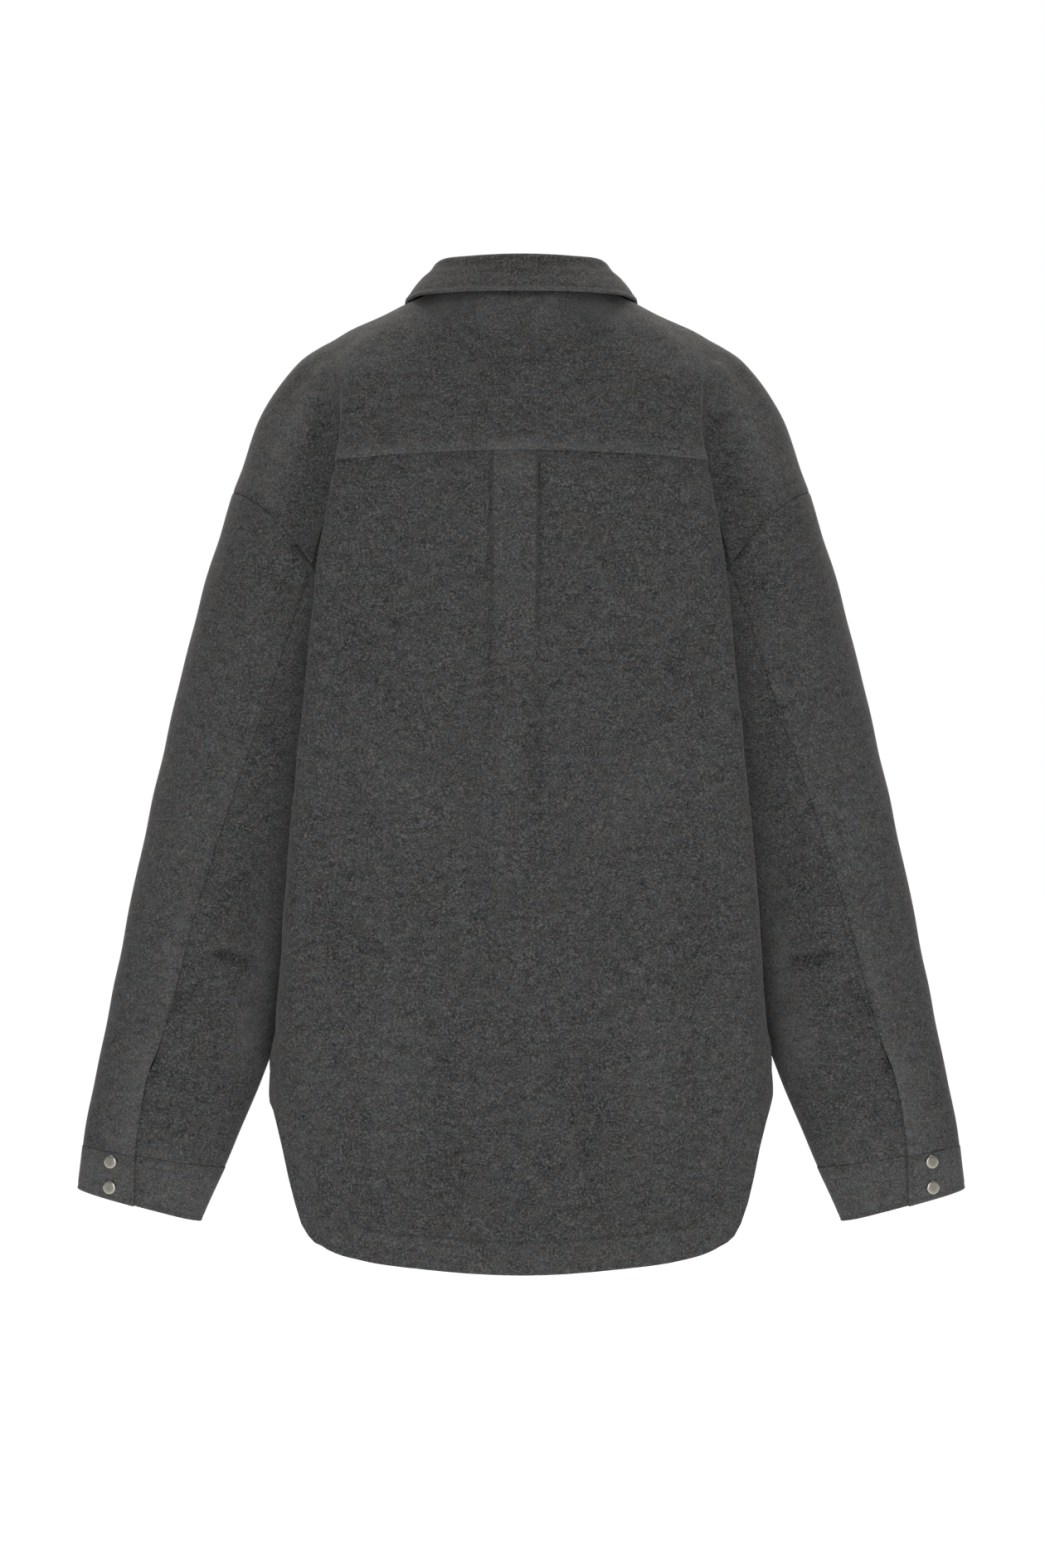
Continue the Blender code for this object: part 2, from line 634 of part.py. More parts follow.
def panel(name, surface, first, second, steps, thickness, outside, side=LEFT, shoulder_row=None):
    """A cloth wall on the inside of a surface read at two arrays of parameters.

    outside is 1 where the surface's own normals point outwards and -1 where they point in. The row along
    the shoulder seam, where there is one, leans half way to the panel on the other side of the seam.
    """
    outer = surface(first, second)
    outward = normals_of(surface, first, second, *steps) * outside
    if shoulder_row is not None:
        at_seam = np.abs(first[shoulder_row]) >= SHOULDER_SHARE
        outward[shoulder_row, at_seam] = shoulder_normals(first[shoulder_row, at_seam])
    inner = outer - outward * np.asarray(thickness)[..., None]
    mirror = np.array((side, 1.0, 1.0))
    cloth_wall(name, outer * mirror, inner * mirror)


def shoulder_normals(share):
    """Directions half way between those in which the yoke and a front face along the shoulder seam."""
    yoke_level = np.full_like(share, YOKE_TOP)
    front_level = np.full_like(share, FRONT_TOP)
    yoke = -normals_of(yoke_surface, share, yoke_level, *BODY_STEPS)
    front = normals_of(front_points, share, front_level, *BODY_STEPS)
    return unit(yoke + front)


def trimmed(net, share, level):
    """Shares drawn in at the armhole and side seams by half of the seam's gap."""
    end = read_net(net, np.ones_like(share), level)
    near = read_net(net, np.full_like(share, 1.0 - TRIM_SHARE), level)
    gap = np.where(level > UNDERARM, ARMHOLE_GAP, SEAM_GAP) / 2
    limit = 1.0 - gap * TRIM_SHARE / np.linalg.norm(end - near, axis=-1)
    return np.clip(share, -limit, limit)


def hem_rows(across, top, plain_rows, crowding):
    """Shares, levels and thickness from a top level to the hem, doubled over the turned-up band.

    A crowding of 1 spaces the rows evenly, and a larger one draws them together at the top.
    """
    edge = read_curve(*past_centre(HEM["share"], HEM["height"]), np.abs(across))
    drop = top - HEM["height"][0]
    turn = 1.0 - HEM_TURN / drop
    plain = np.linspace(0.0, 1.0, plain_rows) ** crowding * (turn - HEM_TURN_STEP / drop)
    down = np.append(plain, (turn, 1.0))
    level = top + down[:, None] * (edge - top)
    share = np.repeat(across[None, :], len(down), axis=0)
    thickness = np.full(share.shape, CLOTH)
    thickness[-2:] += CLOTH
    return share, level, thickness


def make_yoke():
    across = np.concatenate((-YOKE_COLUMNS[::-1], (0.0,), YOKE_COLUMNS))
    levels = np.array(YOKE_ROWS)
    levels[0] += SEAM_GAP
    share, level = np.meshgrid(across, levels)
    share = trimmed(BACK_NET, share, level)
    thickness = np.full(share.shape, CLOTH)
    panel("yoke", yoke_surface, share, level, BODY_STEPS, thickness, -1.0, shoulder_row=-1)


def make_back():
    across = np.concatenate((-BODY_COLUMNS[::-1], PLEAT_COLUMNS, BODY_COLUMNS))
    share, level, thickness = hem_rows(across, YOKE_ROWS[0] - SEAM_GAP, BACK_ROWS, BACK_CROWDING)
    share = trimmed(BACK_NET, share, level)
    panel("back", back_surface, share, level, BODY_STEPS, thickness, -1.0)


def make_fronts():
    top = FRONT_TOP - FRONT_SHOULDER_GAP
    share, level, thickness = hem_rows(FRONT_COLUMNS, top, FRONT_ROWS, FRONT_CROWDING)
    share = trimmed(FRONT_NET, share, level)
    for name, side, lift in (("front_left", LEFT, -FRONT_LAP_STEP), ("front_right", RIGHT, FRONT_LAP_STEP)):
        panel(name, front_surface(lift), share, level, BODY_STEPS, thickness, 1.0, side, shoulder_row=0)


def make_sleeves():
    ends = (ARMHOLE_GAP / 2, CUFF_TOP - SEAM_GAP / 2)
    along = np.linspace(*ends, SLEEVE_ROWS)
    seam = back_seam_angle(along)
    lap = VENT_LAP_ANGLE * smooth_step((along - VENT_START) / VENT_FADE)
    around = np.linspace(0.0, 1.0, SLEEVE_COLUMNS)
    far = np.repeat(along[:, None], len(around), axis=1)
    thickness = np.full(far.shape, CLOTH)
    front_seam = np.full_like(seam, FRONT_SEAM_ANGLE)
    spans = {
        "upper": (front_seam, seam, sleeve_surface),
        "under": (seam - lap, front_seam + 360.0, sunk(sleeve_surface, vent_drop, SLEEVE_STEPS)),
    }
    for piece, (first, last, surface) in spans.items():
        first = first + SLEEVE_SEAM_ANGLE / 2
        last = last - SLEEVE_SEAM_ANGLE / 2
        angle = first[:, None] + (last - first)[:, None] * around
        for side_name, side in SIDES.items():
            panel(f"sleeve_{piece}_{side_name}", surface, angle, far, SLEEVE_STEPS, thickness, -1.0, side)


def make_cuffs():
    along = np.linspace(CUFF_TOP + SEAM_GAP / 2, WRIST, CUFF_ROWS)
    travel = np.linspace(0.0, 360.0 + CUFF_LAP_ANGLE, CUFF_COLUMNS)
    far = np.repeat(along[:, None], len(travel), axis=1)
    angle = back_seam_angle(far) - travel
    thickness = np.full(far.shape, DOUBLE_CLOTH)
    surface = sunk(sleeve_surface, cuff_drop, SLEEVE_STEPS)
    for side_name, side in SIDES.items():
        panel(f"cuff_{side_name}", surface, angle, far, SLEEVE_STEPS, thickness, -1.0, side)


def make_collar():
    end = 180.0 + STAND_LAP_ANGLE
    angle, rise = np.meshgrid(np.linspace(-end, end, STAND_COLUMNS), np.linspace(0.0, 1.0, STAND_ROWS))
    panel("collar_stand", stand_surface, angle, rise, COLLAR_STEPS, np.full(angle.shape, DOUBLE_CLOTH), -1.0)
    angle, fall = np.meshgrid(np.linspace(-LEAF_END_ANGLE, LEAF_END_ANGLE, LEAF_COLUMNS), LEAF_FALL)
    panel("collar_fall", leaf_surface, angle, fall, COLLAR_STEPS, np.full(angle.shape, LEAF_CLOTH), 1.0)


def snap_cap(name, point, outward):
    """A domed cap turned about its axis, seated just above the cloth."""
    profile = bpy.data.meshes.new(name)
    reach = SNAP_RADIUS * np.sin(SNAP_TURNS)
    height = SNAP_RIM + SNAP_DOME * np.cos(SNAP_TURNS)
    points = [(r, 0.0, h) for r, h in zip(reach, height)]
    points += [(SNAP_RADIUS, 0.0, 0.0), (0.0, 0.0, 0.0)]
    profile.from_pydata(points, [(i, i + 1) for i in range(len(points) - 1)], [])
    cap = place(name, profile, SATIN_STEEL, 0.35, 1.0)
    screw = cap.modifiers.new("turned", "SCREW")
    screw.steps = SNAP_SIDES
    screw.render_steps = SNAP_SIDES
    screw.use_merge_vertices = True
    screw.merge_threshold = 0.0001
    axis = Vector(outward)
    cap.rotation_euler = axis.to_track_quat("Z", "Y").to_euler()
    cap.location = Vector(point) + axis * SEAM_GAP


def make_snaps():
    surface = sunk(sleeve_surface, cuff_drop, SLEEVE_STEPS)
    for number, (along, angle) in enumerate(zip(CUFF_SNAPS["along"], CUFF_SNAPS["angle"]), 1):
        where = (np.array([[angle]]), np.array([[along]]))
        point = surface(*where)[0, 0]
        outward = -normals_of(surface, *where, *SLEEVE_STEPS)[0, 0]
        for side_name, side in SIDES.items():
            mirror = np.array((side, 1.0, 1.0))
            snap_cap(f"cuff_snap_{side_name}_{number}", point * mirror, outward * mirror)
    surface = front_surface(FRONT_LAP_STEP)
    for number, height in enumerate(FRONT_SNAP_HEIGHTS, 2):
        where = (np.array([[0.0]]), np.array([[height]]))
        outward = normals_of(surface, *where, *BODY_STEPS)[0, 0]
        snap_cap(f"front_snap_{number}", surface(*where)[0, 0], outward)
    where = (np.array([[-180.0]]), np.array([[0.5]]))
    outward = -normals_of(stand_surface, *where, *COLLAR_STEPS)[0, 0]
    snap_cap("front_snap_1", stand_surface(*where)[0, 0], outward)


for leftover in list(bpy.data.objects):
    bpy.data.objects.remove(leftover)
SHIRT = bpy.data.collections.new("overshirt")
bpy.context.scene.collection.children.link(SHIRT)
make_yoke()
make_back()
make_fronts()
make_sleeves()
make_cuffs()
make_collar()
make_snaps()
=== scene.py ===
import math

import bpy
import numpy as np
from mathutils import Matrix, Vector


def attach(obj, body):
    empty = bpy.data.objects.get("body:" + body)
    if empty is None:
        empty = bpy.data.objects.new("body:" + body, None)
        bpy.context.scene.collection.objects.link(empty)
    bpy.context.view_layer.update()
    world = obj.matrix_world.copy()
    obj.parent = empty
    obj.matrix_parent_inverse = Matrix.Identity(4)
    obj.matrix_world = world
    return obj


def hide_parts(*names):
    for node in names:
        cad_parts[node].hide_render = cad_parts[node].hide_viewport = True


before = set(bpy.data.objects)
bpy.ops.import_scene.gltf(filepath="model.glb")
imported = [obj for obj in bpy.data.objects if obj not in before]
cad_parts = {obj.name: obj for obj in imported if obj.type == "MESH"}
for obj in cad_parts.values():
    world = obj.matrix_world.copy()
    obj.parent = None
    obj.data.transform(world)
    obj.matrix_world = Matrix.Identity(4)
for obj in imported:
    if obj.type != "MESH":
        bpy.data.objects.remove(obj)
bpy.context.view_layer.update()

# Yoke
# One piece of brushed charcoal flannel laid over both shoulders, from the forward shoulder seams to a felled
# seam across the back. Its seam allowances are pressed up under it and lift a soft band above that seam.
LEFT, RIGHT = 1.0, -1.0
SIDES = {"left": LEFT, "right": RIGHT}
CLOTH = 0.0018
RIM = 0.0003
SEAM_GAP = 0.0002
ARMHOLE_GAP = 0.0003
SEAM_DIP = 0.0003
SEAM_REACH = 0.0030
SEAM_SHADE = 0.16
SEAM_SHADE_REACH = 0.0016
SEWN_RADIUS = 0.0004
# Painted light on creases' ridges and painted shade in their troughs, per metre of height
CREASE_PAINTED_LIGHT = 60.0

# Grid of a panel: its spacing, the points that pace out a line, and finer steps at edges and beside marks
GRID_SPACING = 0.0042
PACING_POINTS = 400
EDGE_STEPS = (0.0, 0.0002, 0.0005, 0.0009, 0.0015, 0.0024, 0.0036)
MARK_STEPS = (-0.0026, -0.0013, -0.0004, 0.0004, 0.0013, 0.0026)


def columns(names, *rows):
    """A table as a dictionary: each named column is an array with one number for each row."""
    return dict(zip(names.split(), np.array(rows, float).T))


# Shares of the half girth, from the centre line to the armhole or side seam, where sections have a point
GIRTH = np.array((0.0, 0.217, 0.30, 0.38, 0.52, 0.583, 0.625, 0.675, 0.75, 0.873, 1.0))
SHOULDER_SHARE = GIRTH[3]
EDGE_SHARES = (GIRTH[-3], GIRTH[-1])
# How far across a section the points before the fold lie, and how far past the fold the others lie
ACROSS_BACK = np.array((0.0, 0.36, 0.52, 0.66, 0.86, 0.96))
PAST_FOLD = np.array((0.0, 0.13, 0.30, 0.65, 1.0))
PAST_FOLD_DIP = np.sin(math.pi * PAST_FOLD**0.6)

# Dropped armhole: centre, half sizes, and how far its front and back rise above a flat ring
ARMHOLE_CENTRE = np.array((0.1753, -0.002, -0.208))
ARMHOLE_REACH = np.array((0.0503, 0.0, 0.062))
ARMHOLE_DEPTH = np.array((0.0, 0.075, 0.0))
ARMHOLE_RISE = 0.022
FORWARD_SEAM_ANGLE = -22.0

# Lines down the yoke at the shares of the girth: points on its top edge, on the ridge of the shoulder,
# behind the shoulder and half way down, and the level and armhole angle of each of the four
YOKE = columns(
    "top_x top_y top_z ridge_x ridge_y ridge_z behind_x behind_y behind_z half_x half_y half_z",
    (0.0000, 0.0660, 0.0030, 0.0000, 0.0710, -0.0100, 0.0000, 0.0810, -0.0350, 0.0000, 0.0940, -0.0750),
    (0.0440, 0.0500, 0.0070, 0.0470, 0.0540, 0.0000, 0.0490, 0.0680, -0.0230, 0.0500, 0.0885, -0.0690),
    (0.0695, 0.0120, 0.0115, 0.0730, 0.0190, 0.0085, 0.0730, 0.0500, -0.0120, 0.0750, 0.0840, -0.0650),
    (0.0715, -0.0300, 0.0075, 0.0790, 0.0010, 0.0080, 0.0890, 0.0430, -0.0095, 0.0930, 0.0805, -0.0650),
    (0.1100, -0.0325, -0.0135, 0.1125, 0.0000, -0.0085, 0.1170, 0.0450, -0.0230, 0.1190, 0.0785, -0.0700),
    (0.1350, -0.0330, -0.0270, 0.1360, 0.0000, -0.0190, 0.1350, 0.0460, -0.0345, 0.1340, 0.0790, -0.0755),
    (0.1475, -0.0330, -0.0345, 0.1475, 0.0000, -0.0258, 0.1420, 0.0450, -0.0410, 0.1395, 0.0760, -0.0790),
    (0.1570, -0.0335, -0.0410, 0.1575, 0.0000, -0.0312, 0.1490, 0.0420, -0.0465, 0.1420, 0.0640, -0.0850),
    (0.1740, -0.0340, -0.0550, 0.1752, 0.0000, -0.0438, 0.1640, 0.0410, -0.0590, 0.1520, 0.0580, -0.1000),
    (0.2030, -0.0330, -0.0960, 0.2055, -0.0010, -0.0865, 0.1930, 0.0420, -0.0950, 0.1740, 0.0630, -0.1330),
)
YOKE_SECTIONS = {
    "top": (0.003, FORWARD_SEAM_ANGLE),
    "ridge": (-0.010, 0.0),
    "behind": (-0.035, 36.0),
    "half": (-0.075, 72.0),
}
YOKE_TOP = YOKE_SECTIONS["top"][0]
YOKE_SEAM = -0.1186
YOKE_PACED_SHARE = 0.45
YOKE_PACED_LEVEL = -0.075

# Sections of the back beside the armhole, from the yoke seam down
ARMHOLE_SECTIONS = columns(
    "centre_y centre_z fold_x fold_y fold_z roundness pinch hollow edge_angle",
    (0.1050, YOKE_SEAM, 0.1435, 0.0890, -0.1260, 3.0, 0.0035, 0.0170, 106.0),
    (0.1140, -0.1950, 0.1565, 0.0960, -0.2000, 3.0, 0.0070, 0.0147, 141.0),
)
# Level sections of the body from the underarm to below the hem
BODY_SECTIONS = columns(
    "height back fold_x fold_y roundness pinch side front front_fold_x front_fold_y front_roundness",
    (-0.270, 0.1180, 0.1630, 0.100, 3.0, 0.0115, 0.1250, -0.1180, 0.1540, -0.0900, 2.6),
    (-0.340, 0.1200, 0.1705, 0.099, 3.0, 0.0095, 0.1180, -0.1180, 0.1600, -0.0890, 2.6),
    (-0.410, 0.1200, 0.1775, 0.094, 2.9, 0.0050, 0.1345, -0.1160, 0.1680, -0.0850, 2.6),
    (-0.480, 0.1195, 0.1830, 0.085, 2.8, 0.0020, 0.1560, -0.1140, 0.1760, -0.0760, 2.5),
    (-0.550, 0.1180, 0.1885, 0.068, 2.6, 0.0000, 0.1775, -0.1120, 0.1840, -0.0600, 2.5),
    (-0.610, 0.1160, 0.1942, 0.045, 2.4, 0.0000, 0.1925, -0.1100, 0.1935, -0.0400, 2.4),
    (-0.680, 0.1140, 0.1960, 0.030, 2.4, 0.0000, 0.1945, -0.1090, 0.1950, -0.0300, 2.4),
    (-0.770, 0.1120, 0.1955, 0.025, 2.4, 0.0000, 0.1940, -0.1080, 0.1945, -0.0250, 2.4),
)
UNDERARM = BODY_SECTIONS["height"][0]
TRIM_SHARE = 0.02
BODY_STEPS = (0.002, 0.0005)

# The lifted band above the yoke seam, higher and paler over the box pleat, and how far the shoulders settle
PLEAT_CENTRE = 0.0048
PLEAT_HALF_WIDTH = 0.0172
PLEAT_LIFT_WIDTH = 1.3 * PLEAT_HALF_WIDTH
PLEAT_LIFT = 0.0012
YOKE_BAND = 0.012
YOKE_BAND_FADE = (1.2 * YOKE_BAND, 0.3 * YOKE_BAND)
YOKE_BAND_RISE = 0.0011
# How much paler the band is, less so at its sides than over the pleat
YOKE_BAND_PALER = 0.46
YOKE_BAND_SIDE_SHARE = 0.65
YOKE_SWELL_SHARE = 0.4
YOKE_SETTLE = 0.0013
YOKE_SETTLE_FACING = (0.6, 0.2)
YOKE_SETTLE_EDGE = (0.0, 0.025)
YOKE_BEHIND = (0.02, 0.05)

# Painted light on top of the shoulders where they face up, and below the collar and beside it, against the
# collar's shade
SHOULDER_PAINTED_LIGHT = 0.32
SHOULDER_FACING = (0.50, 0.72)
COLLAR_PAINTED_LIGHT = 0.36
COLLAR_REACH = 0.048
COLLAR_SIDE_PAINTED_LIGHT = 0.70
COLLAR_SIDE_X = 0.066
COLLAR_SIDE_WIDTH = 0.019
COLLAR_SIDE_LEVELS = (-0.028, 0.006)

# Creases over the shoulder, seen from behind and alike on both sides: a dimple where the fold of the back
# begins, the ridge that arches round it on to the sleeve, and drag lines from the neck
CREASE = "from_x from_z to_x to_z bow width depth"
CREASE_TAPER = 0.7
YOKE_CREASES = columns(
    CREASE,
    (0.1450, -0.0590, 0.1540, -0.0690, 0.000, 0.0060, -0.0012),
    (0.1490, -0.0600, 0.1520, -0.1260, 0.001, 0.0065, -0.0018),
    (0.1412, -0.0560, 0.1600, -0.0620, 0.0085, 0.0055, 0.0032),
    (0.1591, -0.0600, 0.1780, -0.1100, 0.000, 0.0070, 0.0026),
    (0.0560, -0.0180, 0.1120, -0.0520, -0.004, 0.0100, -0.0007),
    (0.1180, -0.0660, 0.1380, -0.1060, 0.003, 0.0080, -0.0006),
    (0.0300, -0.0900, 0.0900, -0.1000, 0.002, 0.0090, 0.0004),
)
# Bands of painted light over the shoulders, on the outer shoulder and round the fold
PAINTED_LIGHT_BANDS = columns(
    "from_x from_z to_x to_z bow width strength",
    (0.0680, -0.0300, 0.1680, -0.0620, 0.000, 0.0095, 0.34),
    (0.1560, -0.0560, 0.2020, -0.1620, 0.004, 0.0140, 0.37),
    (0.1480, -0.0560, 0.1520, -0.0900, 0.000, 0.0060, 0.22),
)
# Slow swells that keep worn cloth from lying perfectly even
SWELL_HEIGHT = 0.0007
SWELL_DEPTH_WAY = 0.6
SWELLS = columns(
    "length tilt phase",
    (0.093, 18.0, 0.4),
    (0.071, 74.0, 2.1),
    (0.058, 131.0, 4.0),
    (0.043, 163.0, 1.1),
    (0.031, 47.0, 5.2),
)


def points_of(table, part, axes="xyz"):
    """The points that a table gives in the columns named for a part."""
    return np.column_stack([table[f"{part}_{axis}"] for axis in axes])


def on_side(side):
    """Factors that leave points on the left side or mirror them to the right."""
    return np.array((side, 1.0, 1.0))


def signed(points, number):
    """Points of the left half, mirrored to the right where a number is negative."""
    return points * np.where((number < 0)[..., None], on_side(RIGHT), on_side(LEFT))


def unit(vectors):
    return vectors / np.linalg.norm(vectors, axis=-1, keepdims=True)


def ramp(value, limits=(0.0, 1.0)):
    """Goes from 0 at the first limit to 1 at the second with level ends, whichever limit is the greater."""
    start, end = limits
    share = np.clip((value - start) / (end - start), 0.0, 1.0)
    return share * share * (3.0 - 2.0 * share)


def mound(value, centre, width, power=2):
    """1 at a centre, falling off to 0 on both sides of it over a width."""
    return np.exp(-(((value - centre) / width) ** power))


def read_curve(knots, values, at):
    """Reads the smooth curve through values, one for each knot, at the given numbers.

    Each value may itself hold a set of points, one for each number, so that a net of sections is read too.
    """
    knots = np.asarray(knots, float)
    values = np.asarray(values, float)
    if knots[0] > knots[-1]:
        knots, values = knots[::-1], values[::-1]
    slopes = np.gradient(values, knots, axis=0)
    low = np.clip(np.searchsorted(knots, at) - 1, 0, len(knots) - 2)
    step = knots[low + 1] - knots[low]
    share = (at - knots[low]) / step
    first, last = low, low + 1
    if values.ndim == 3:
        first, last = (low, np.arange(len(at))), (low + 1, np.arange(len(at)))
    if values.ndim > 1:
        share, step = share[:, None], step[:, None]
    squared = share * share
    cubed = squared * share
    return (
        values[first] * (2 * cubed - 3 * squared + 1)
        + values[last] * (3 * squared - 2 * cubed)
        + slopes[first] * step * (cubed - 2 * squared + share)
        + slopes[last] * step * (cubed - squared)
    )


def past_centre(knots, values, mirror=1.0):
    """Knots and values carried one step past the centre line, so that a curve has no corner there."""
    return np.append(-knots[1], knots), np.concatenate((values[1:2] * mirror, values))


def armhole(angle):
    """Points of the left armhole: 0 degrees on top of the arm, 90 behind it, 180 under it."""
    turn = np.radians(angle)[..., None]
    rise = np.array((0.0, 0.0, ARMHOLE_RISE))
    ring = ARMHOLE_CENTRE + ARMHOLE_REACH * np.cos(turn) + ARMHOLE_DEPTH * np.sin(turn)
    return ring + rise * np.sin(turn) ** 2


def section(centre, fold, edge, roundness, pinch=0.0, hollow=0.0):
    """Points of half a section: a flat round from the centre to the fold, then inwards to the edge."""
    centre, fold, edge = (np.asarray(point, float) for point in (centre, fold, edge))
    height = (1.0 - ACROSS_BACK**roundness) ** (1.0 / roundness)
    before = np.column_stack(
        (
            fold[0] * ACROSS_BACK,
            fold[1] + (centre[1] - fold[1]) * height,
            centre[2] + (fold[2] - centre[2]) * ACROSS_BACK**2,
        )
    )
    after = np.column_stack(
        (
            fold[0] + (edge[0] - fold[0]) * ramp(PAST_FOLD) - pinch * PAST_FOLD_DIP,
            fold[1] + (edge[1] - fold[1]) * PAST_FOLD - np.sign(centre[1]) * hollow * PAST_FOLD_DIP,
            fold[2] + (edge[2] - fold[2]) * PAST_FOLD,
        )
    )
    return np.vstack((before, after))


def level_sections(side):
    """Sections of the body below the underarm, bottom first, for the back (1) or a front (-1)."""
    depth, prefix = ("back", "") if side > 0 else ("front", "front_")
    body = BODY_SECTIONS
    rows = []
    for i in reversed(range(len(body["height"]))):
        z = body["height"][i]
        fold = (body[prefix + "fold_x"][i], body[prefix + "fold_y"][i], z)
        edge = (body["side"][i], 0.0, z)
        centre = (0.0, body[depth][i], z)
        rows.append(section(centre, fold, edge, body[prefix + "roundness"][i], body["pinch"][i]))
    return list(body["height"][::-1]), rows, [180.0 * side] * len(rows)


def back_net():
    """Levels, sections and armhole angles of the back and yoke, from below the hem to the top edge."""
    levels, rows, angles = level_sections(1)
    arm = ARMHOLE_SECTIONS
    for i in reversed(range(len(arm["centre_z"]))):
        centre = (0.0, arm["centre_y"][i], arm["centre_z"][i])
        edge = armhole(arm["edge_angle"][i])
        form = [arm[name][i] for name in ("roundness", "pinch", "hollow")]
        rows.append(section(centre, points_of(arm, "fold")[i], edge, *form))
        levels.append(arm["centre_z"][i])
        angles.append(arm["edge_angle"][i])
    for part, (level, angle) in reversed(YOKE_SECTIONS.items()):
        rows.append(np.vstack((points_of(YOKE, part), armhole(angle))))
        levels.append(level)
        angles.append(angle)
    return np.array(levels), np.array(rows), np.array(angles)


BACK_NET = back_net()


def edge_line(net, level):
    """The armhole above the underarm and the side seam below it, at the levels of a panel."""
    levels, _, angles = net
    above = levels >= UNDERARM
    ring = armhole(read_curve(levels[above], angles[above], np.maximum(level, UNDERARM)))
    side = read_curve(BODY_SECTIONS["height"], BODY_SECTIONS["side"], level)
    seam = np.column_stack((side, np.zeros_like(side), level))
    return np.where((level > UNDERARM)[:, None], ring, seam)


def read_net(net, share, level):
    """Points of a panel at shares of the half girth and levels, two arrays of one shape."""
    levels, rows, _ = net
    flat_share = np.abs(share).ravel()
    flat_level = level.ravel()
    across = np.array([read_curve(*past_centre(GIRTH, row, on_side(RIGHT)), flat_share) for row in rows])
    points = read_curve(levels, across, flat_level)
    ends = read_curve(levels, rows[:, -1], flat_level)
    points += ramp(flat_share, EDGE_SHARES)[:, None] * (edge_line(net, flat_level) - ends)
    return signed(points.reshape(share.shape + (3,)), share)


def yoke_surface(share, level):
    """The outer face of the yoke, and of the back without its pleat."""
    return read_net(BACK_NET, share, level)


def drawn_in(net, share, level):
    """Shares drawn in at the armhole and side seams by half of the seam's gap."""
    end = read_net(net, np.ones_like(share), level)
    near = read_net(net, np.full_like(share, 1.0 - TRIM_SHARE), level)
    gap = np.where(level > UNDERARM, ARMHOLE_GAP, SEAM_GAP) / 2
    return share * (1.0 - gap * TRIM_SHARE / np.linalg.norm(end - near, axis=-1))


def normals_of(surface, first, second, steps):
    """Normals of a surface from small steps along its two parameters."""
    one, two = steps
    along_first = surface(first + one, second) - surface(first - one, second)
    along_second = surface(first, second + two) - surface(first, second - two)
    return unit(np.cross(along_first, along_second))


def lengths_along(points, axis):
    """Length of cloth from the first row (axis 0) or column (axis 1) of a grid to each of its points."""
    steps = np.linalg.norm(np.diff(points, axis=axis), axis=-1)
    start = np.zeros_like(np.take(steps, [0], axis))
    return np.concatenate((start, np.cumsum(steps, axis=axis)), axis)


def stations(length, spacing, marks):
    """Places along a length of cloth where its grid has points: closer at its ends and beside each mark."""
    ends = [near for step in EDGE_STEPS for near in (step, length - step)]
    fine = sorted(ends + [mark + step for mark in marks for step in MARK_STEPS])
    places = [fine[0]]
    for start, end in zip(fine, fine[1:]):
        count = max(1, round((end - start) / spacing))
        places += list(start + (end - start) * np.arange(1, count + 1) / count)
    return np.array(places)


def paced(surface, start, end, first=None, second=None, spacing=GRID_SPACING, marks=()):
    """Numbers from start to end that pace out one parameter of a surface while the other, given, is held.

    Marks are in metres from the start of that line.
    """
    fine = np.linspace(start, end, PACING_POINTS)
    held = np.full_like(fine, second if first is None else first)
    line = surface(fine, held) if first is None else surface(held, fine)
    length = lengths_along(line, 0)
    return np.interp(stations(length[-1], spacing, marks), length, fine)


def away_from(points, line):
    """How far points lie from a line of points, measured to its nearest stretch."""
    nearest = np.full(points.shape[:-1], np.inf)
    for start, end in zip(line, line[1:]):
        along = end - start
        share = np.clip((points - start) @ along / (along @ along), 0.0, 1.0)
        nearest = np.minimum(nearest, np.linalg.norm(points - start - share[..., None] * along, axis=-1))
    return nearest


def creases(points, table, both_sides=True):
    """Height of the troughs and ridges of a table over points, looking along Y."""
    place = points[..., (0, 2)].copy()
    if both_sides:
        place[..., 0] = np.abs(place[..., 0])
    height = np.zeros(points.shape[:-1])
    for from_x, from_z, to_x, to_z, bow, width, depth in zip(*table.values()):
        start = np.array((from_x, from_z))
        along = np.array((to_x, to_z)) - start
        share = np.clip((place - start) @ along / (along @ along), 0.0, 1.0)
        fade = np.sin(math.pi * share)
        sideways = unit(np.array((-along[1], along[0])))
        nearest = start + share[..., None] * along + (bow * fade)[..., None] * sideways
        away = np.linalg.norm(place - nearest, axis=-1)
        height += depth * fade**CREASE_TAPER * mound(away, 0.0, width)
    return height


def swells(points):
    """Height of the slow swells of the cloth."""
    height = np.zeros(points.shape[:-1])
    for length, tilt, phase in zip(*SWELLS.values()):
        turn = math.radians(tilt)
        way = points @ np.array((math.cos(turn), SWELL_DEPTH_WAY, math.sin(turn)))
        height += np.sin(2.0 * math.pi * way / length + phase)
    return SWELL_HEIGHT * height / len(SWELLS["length"])


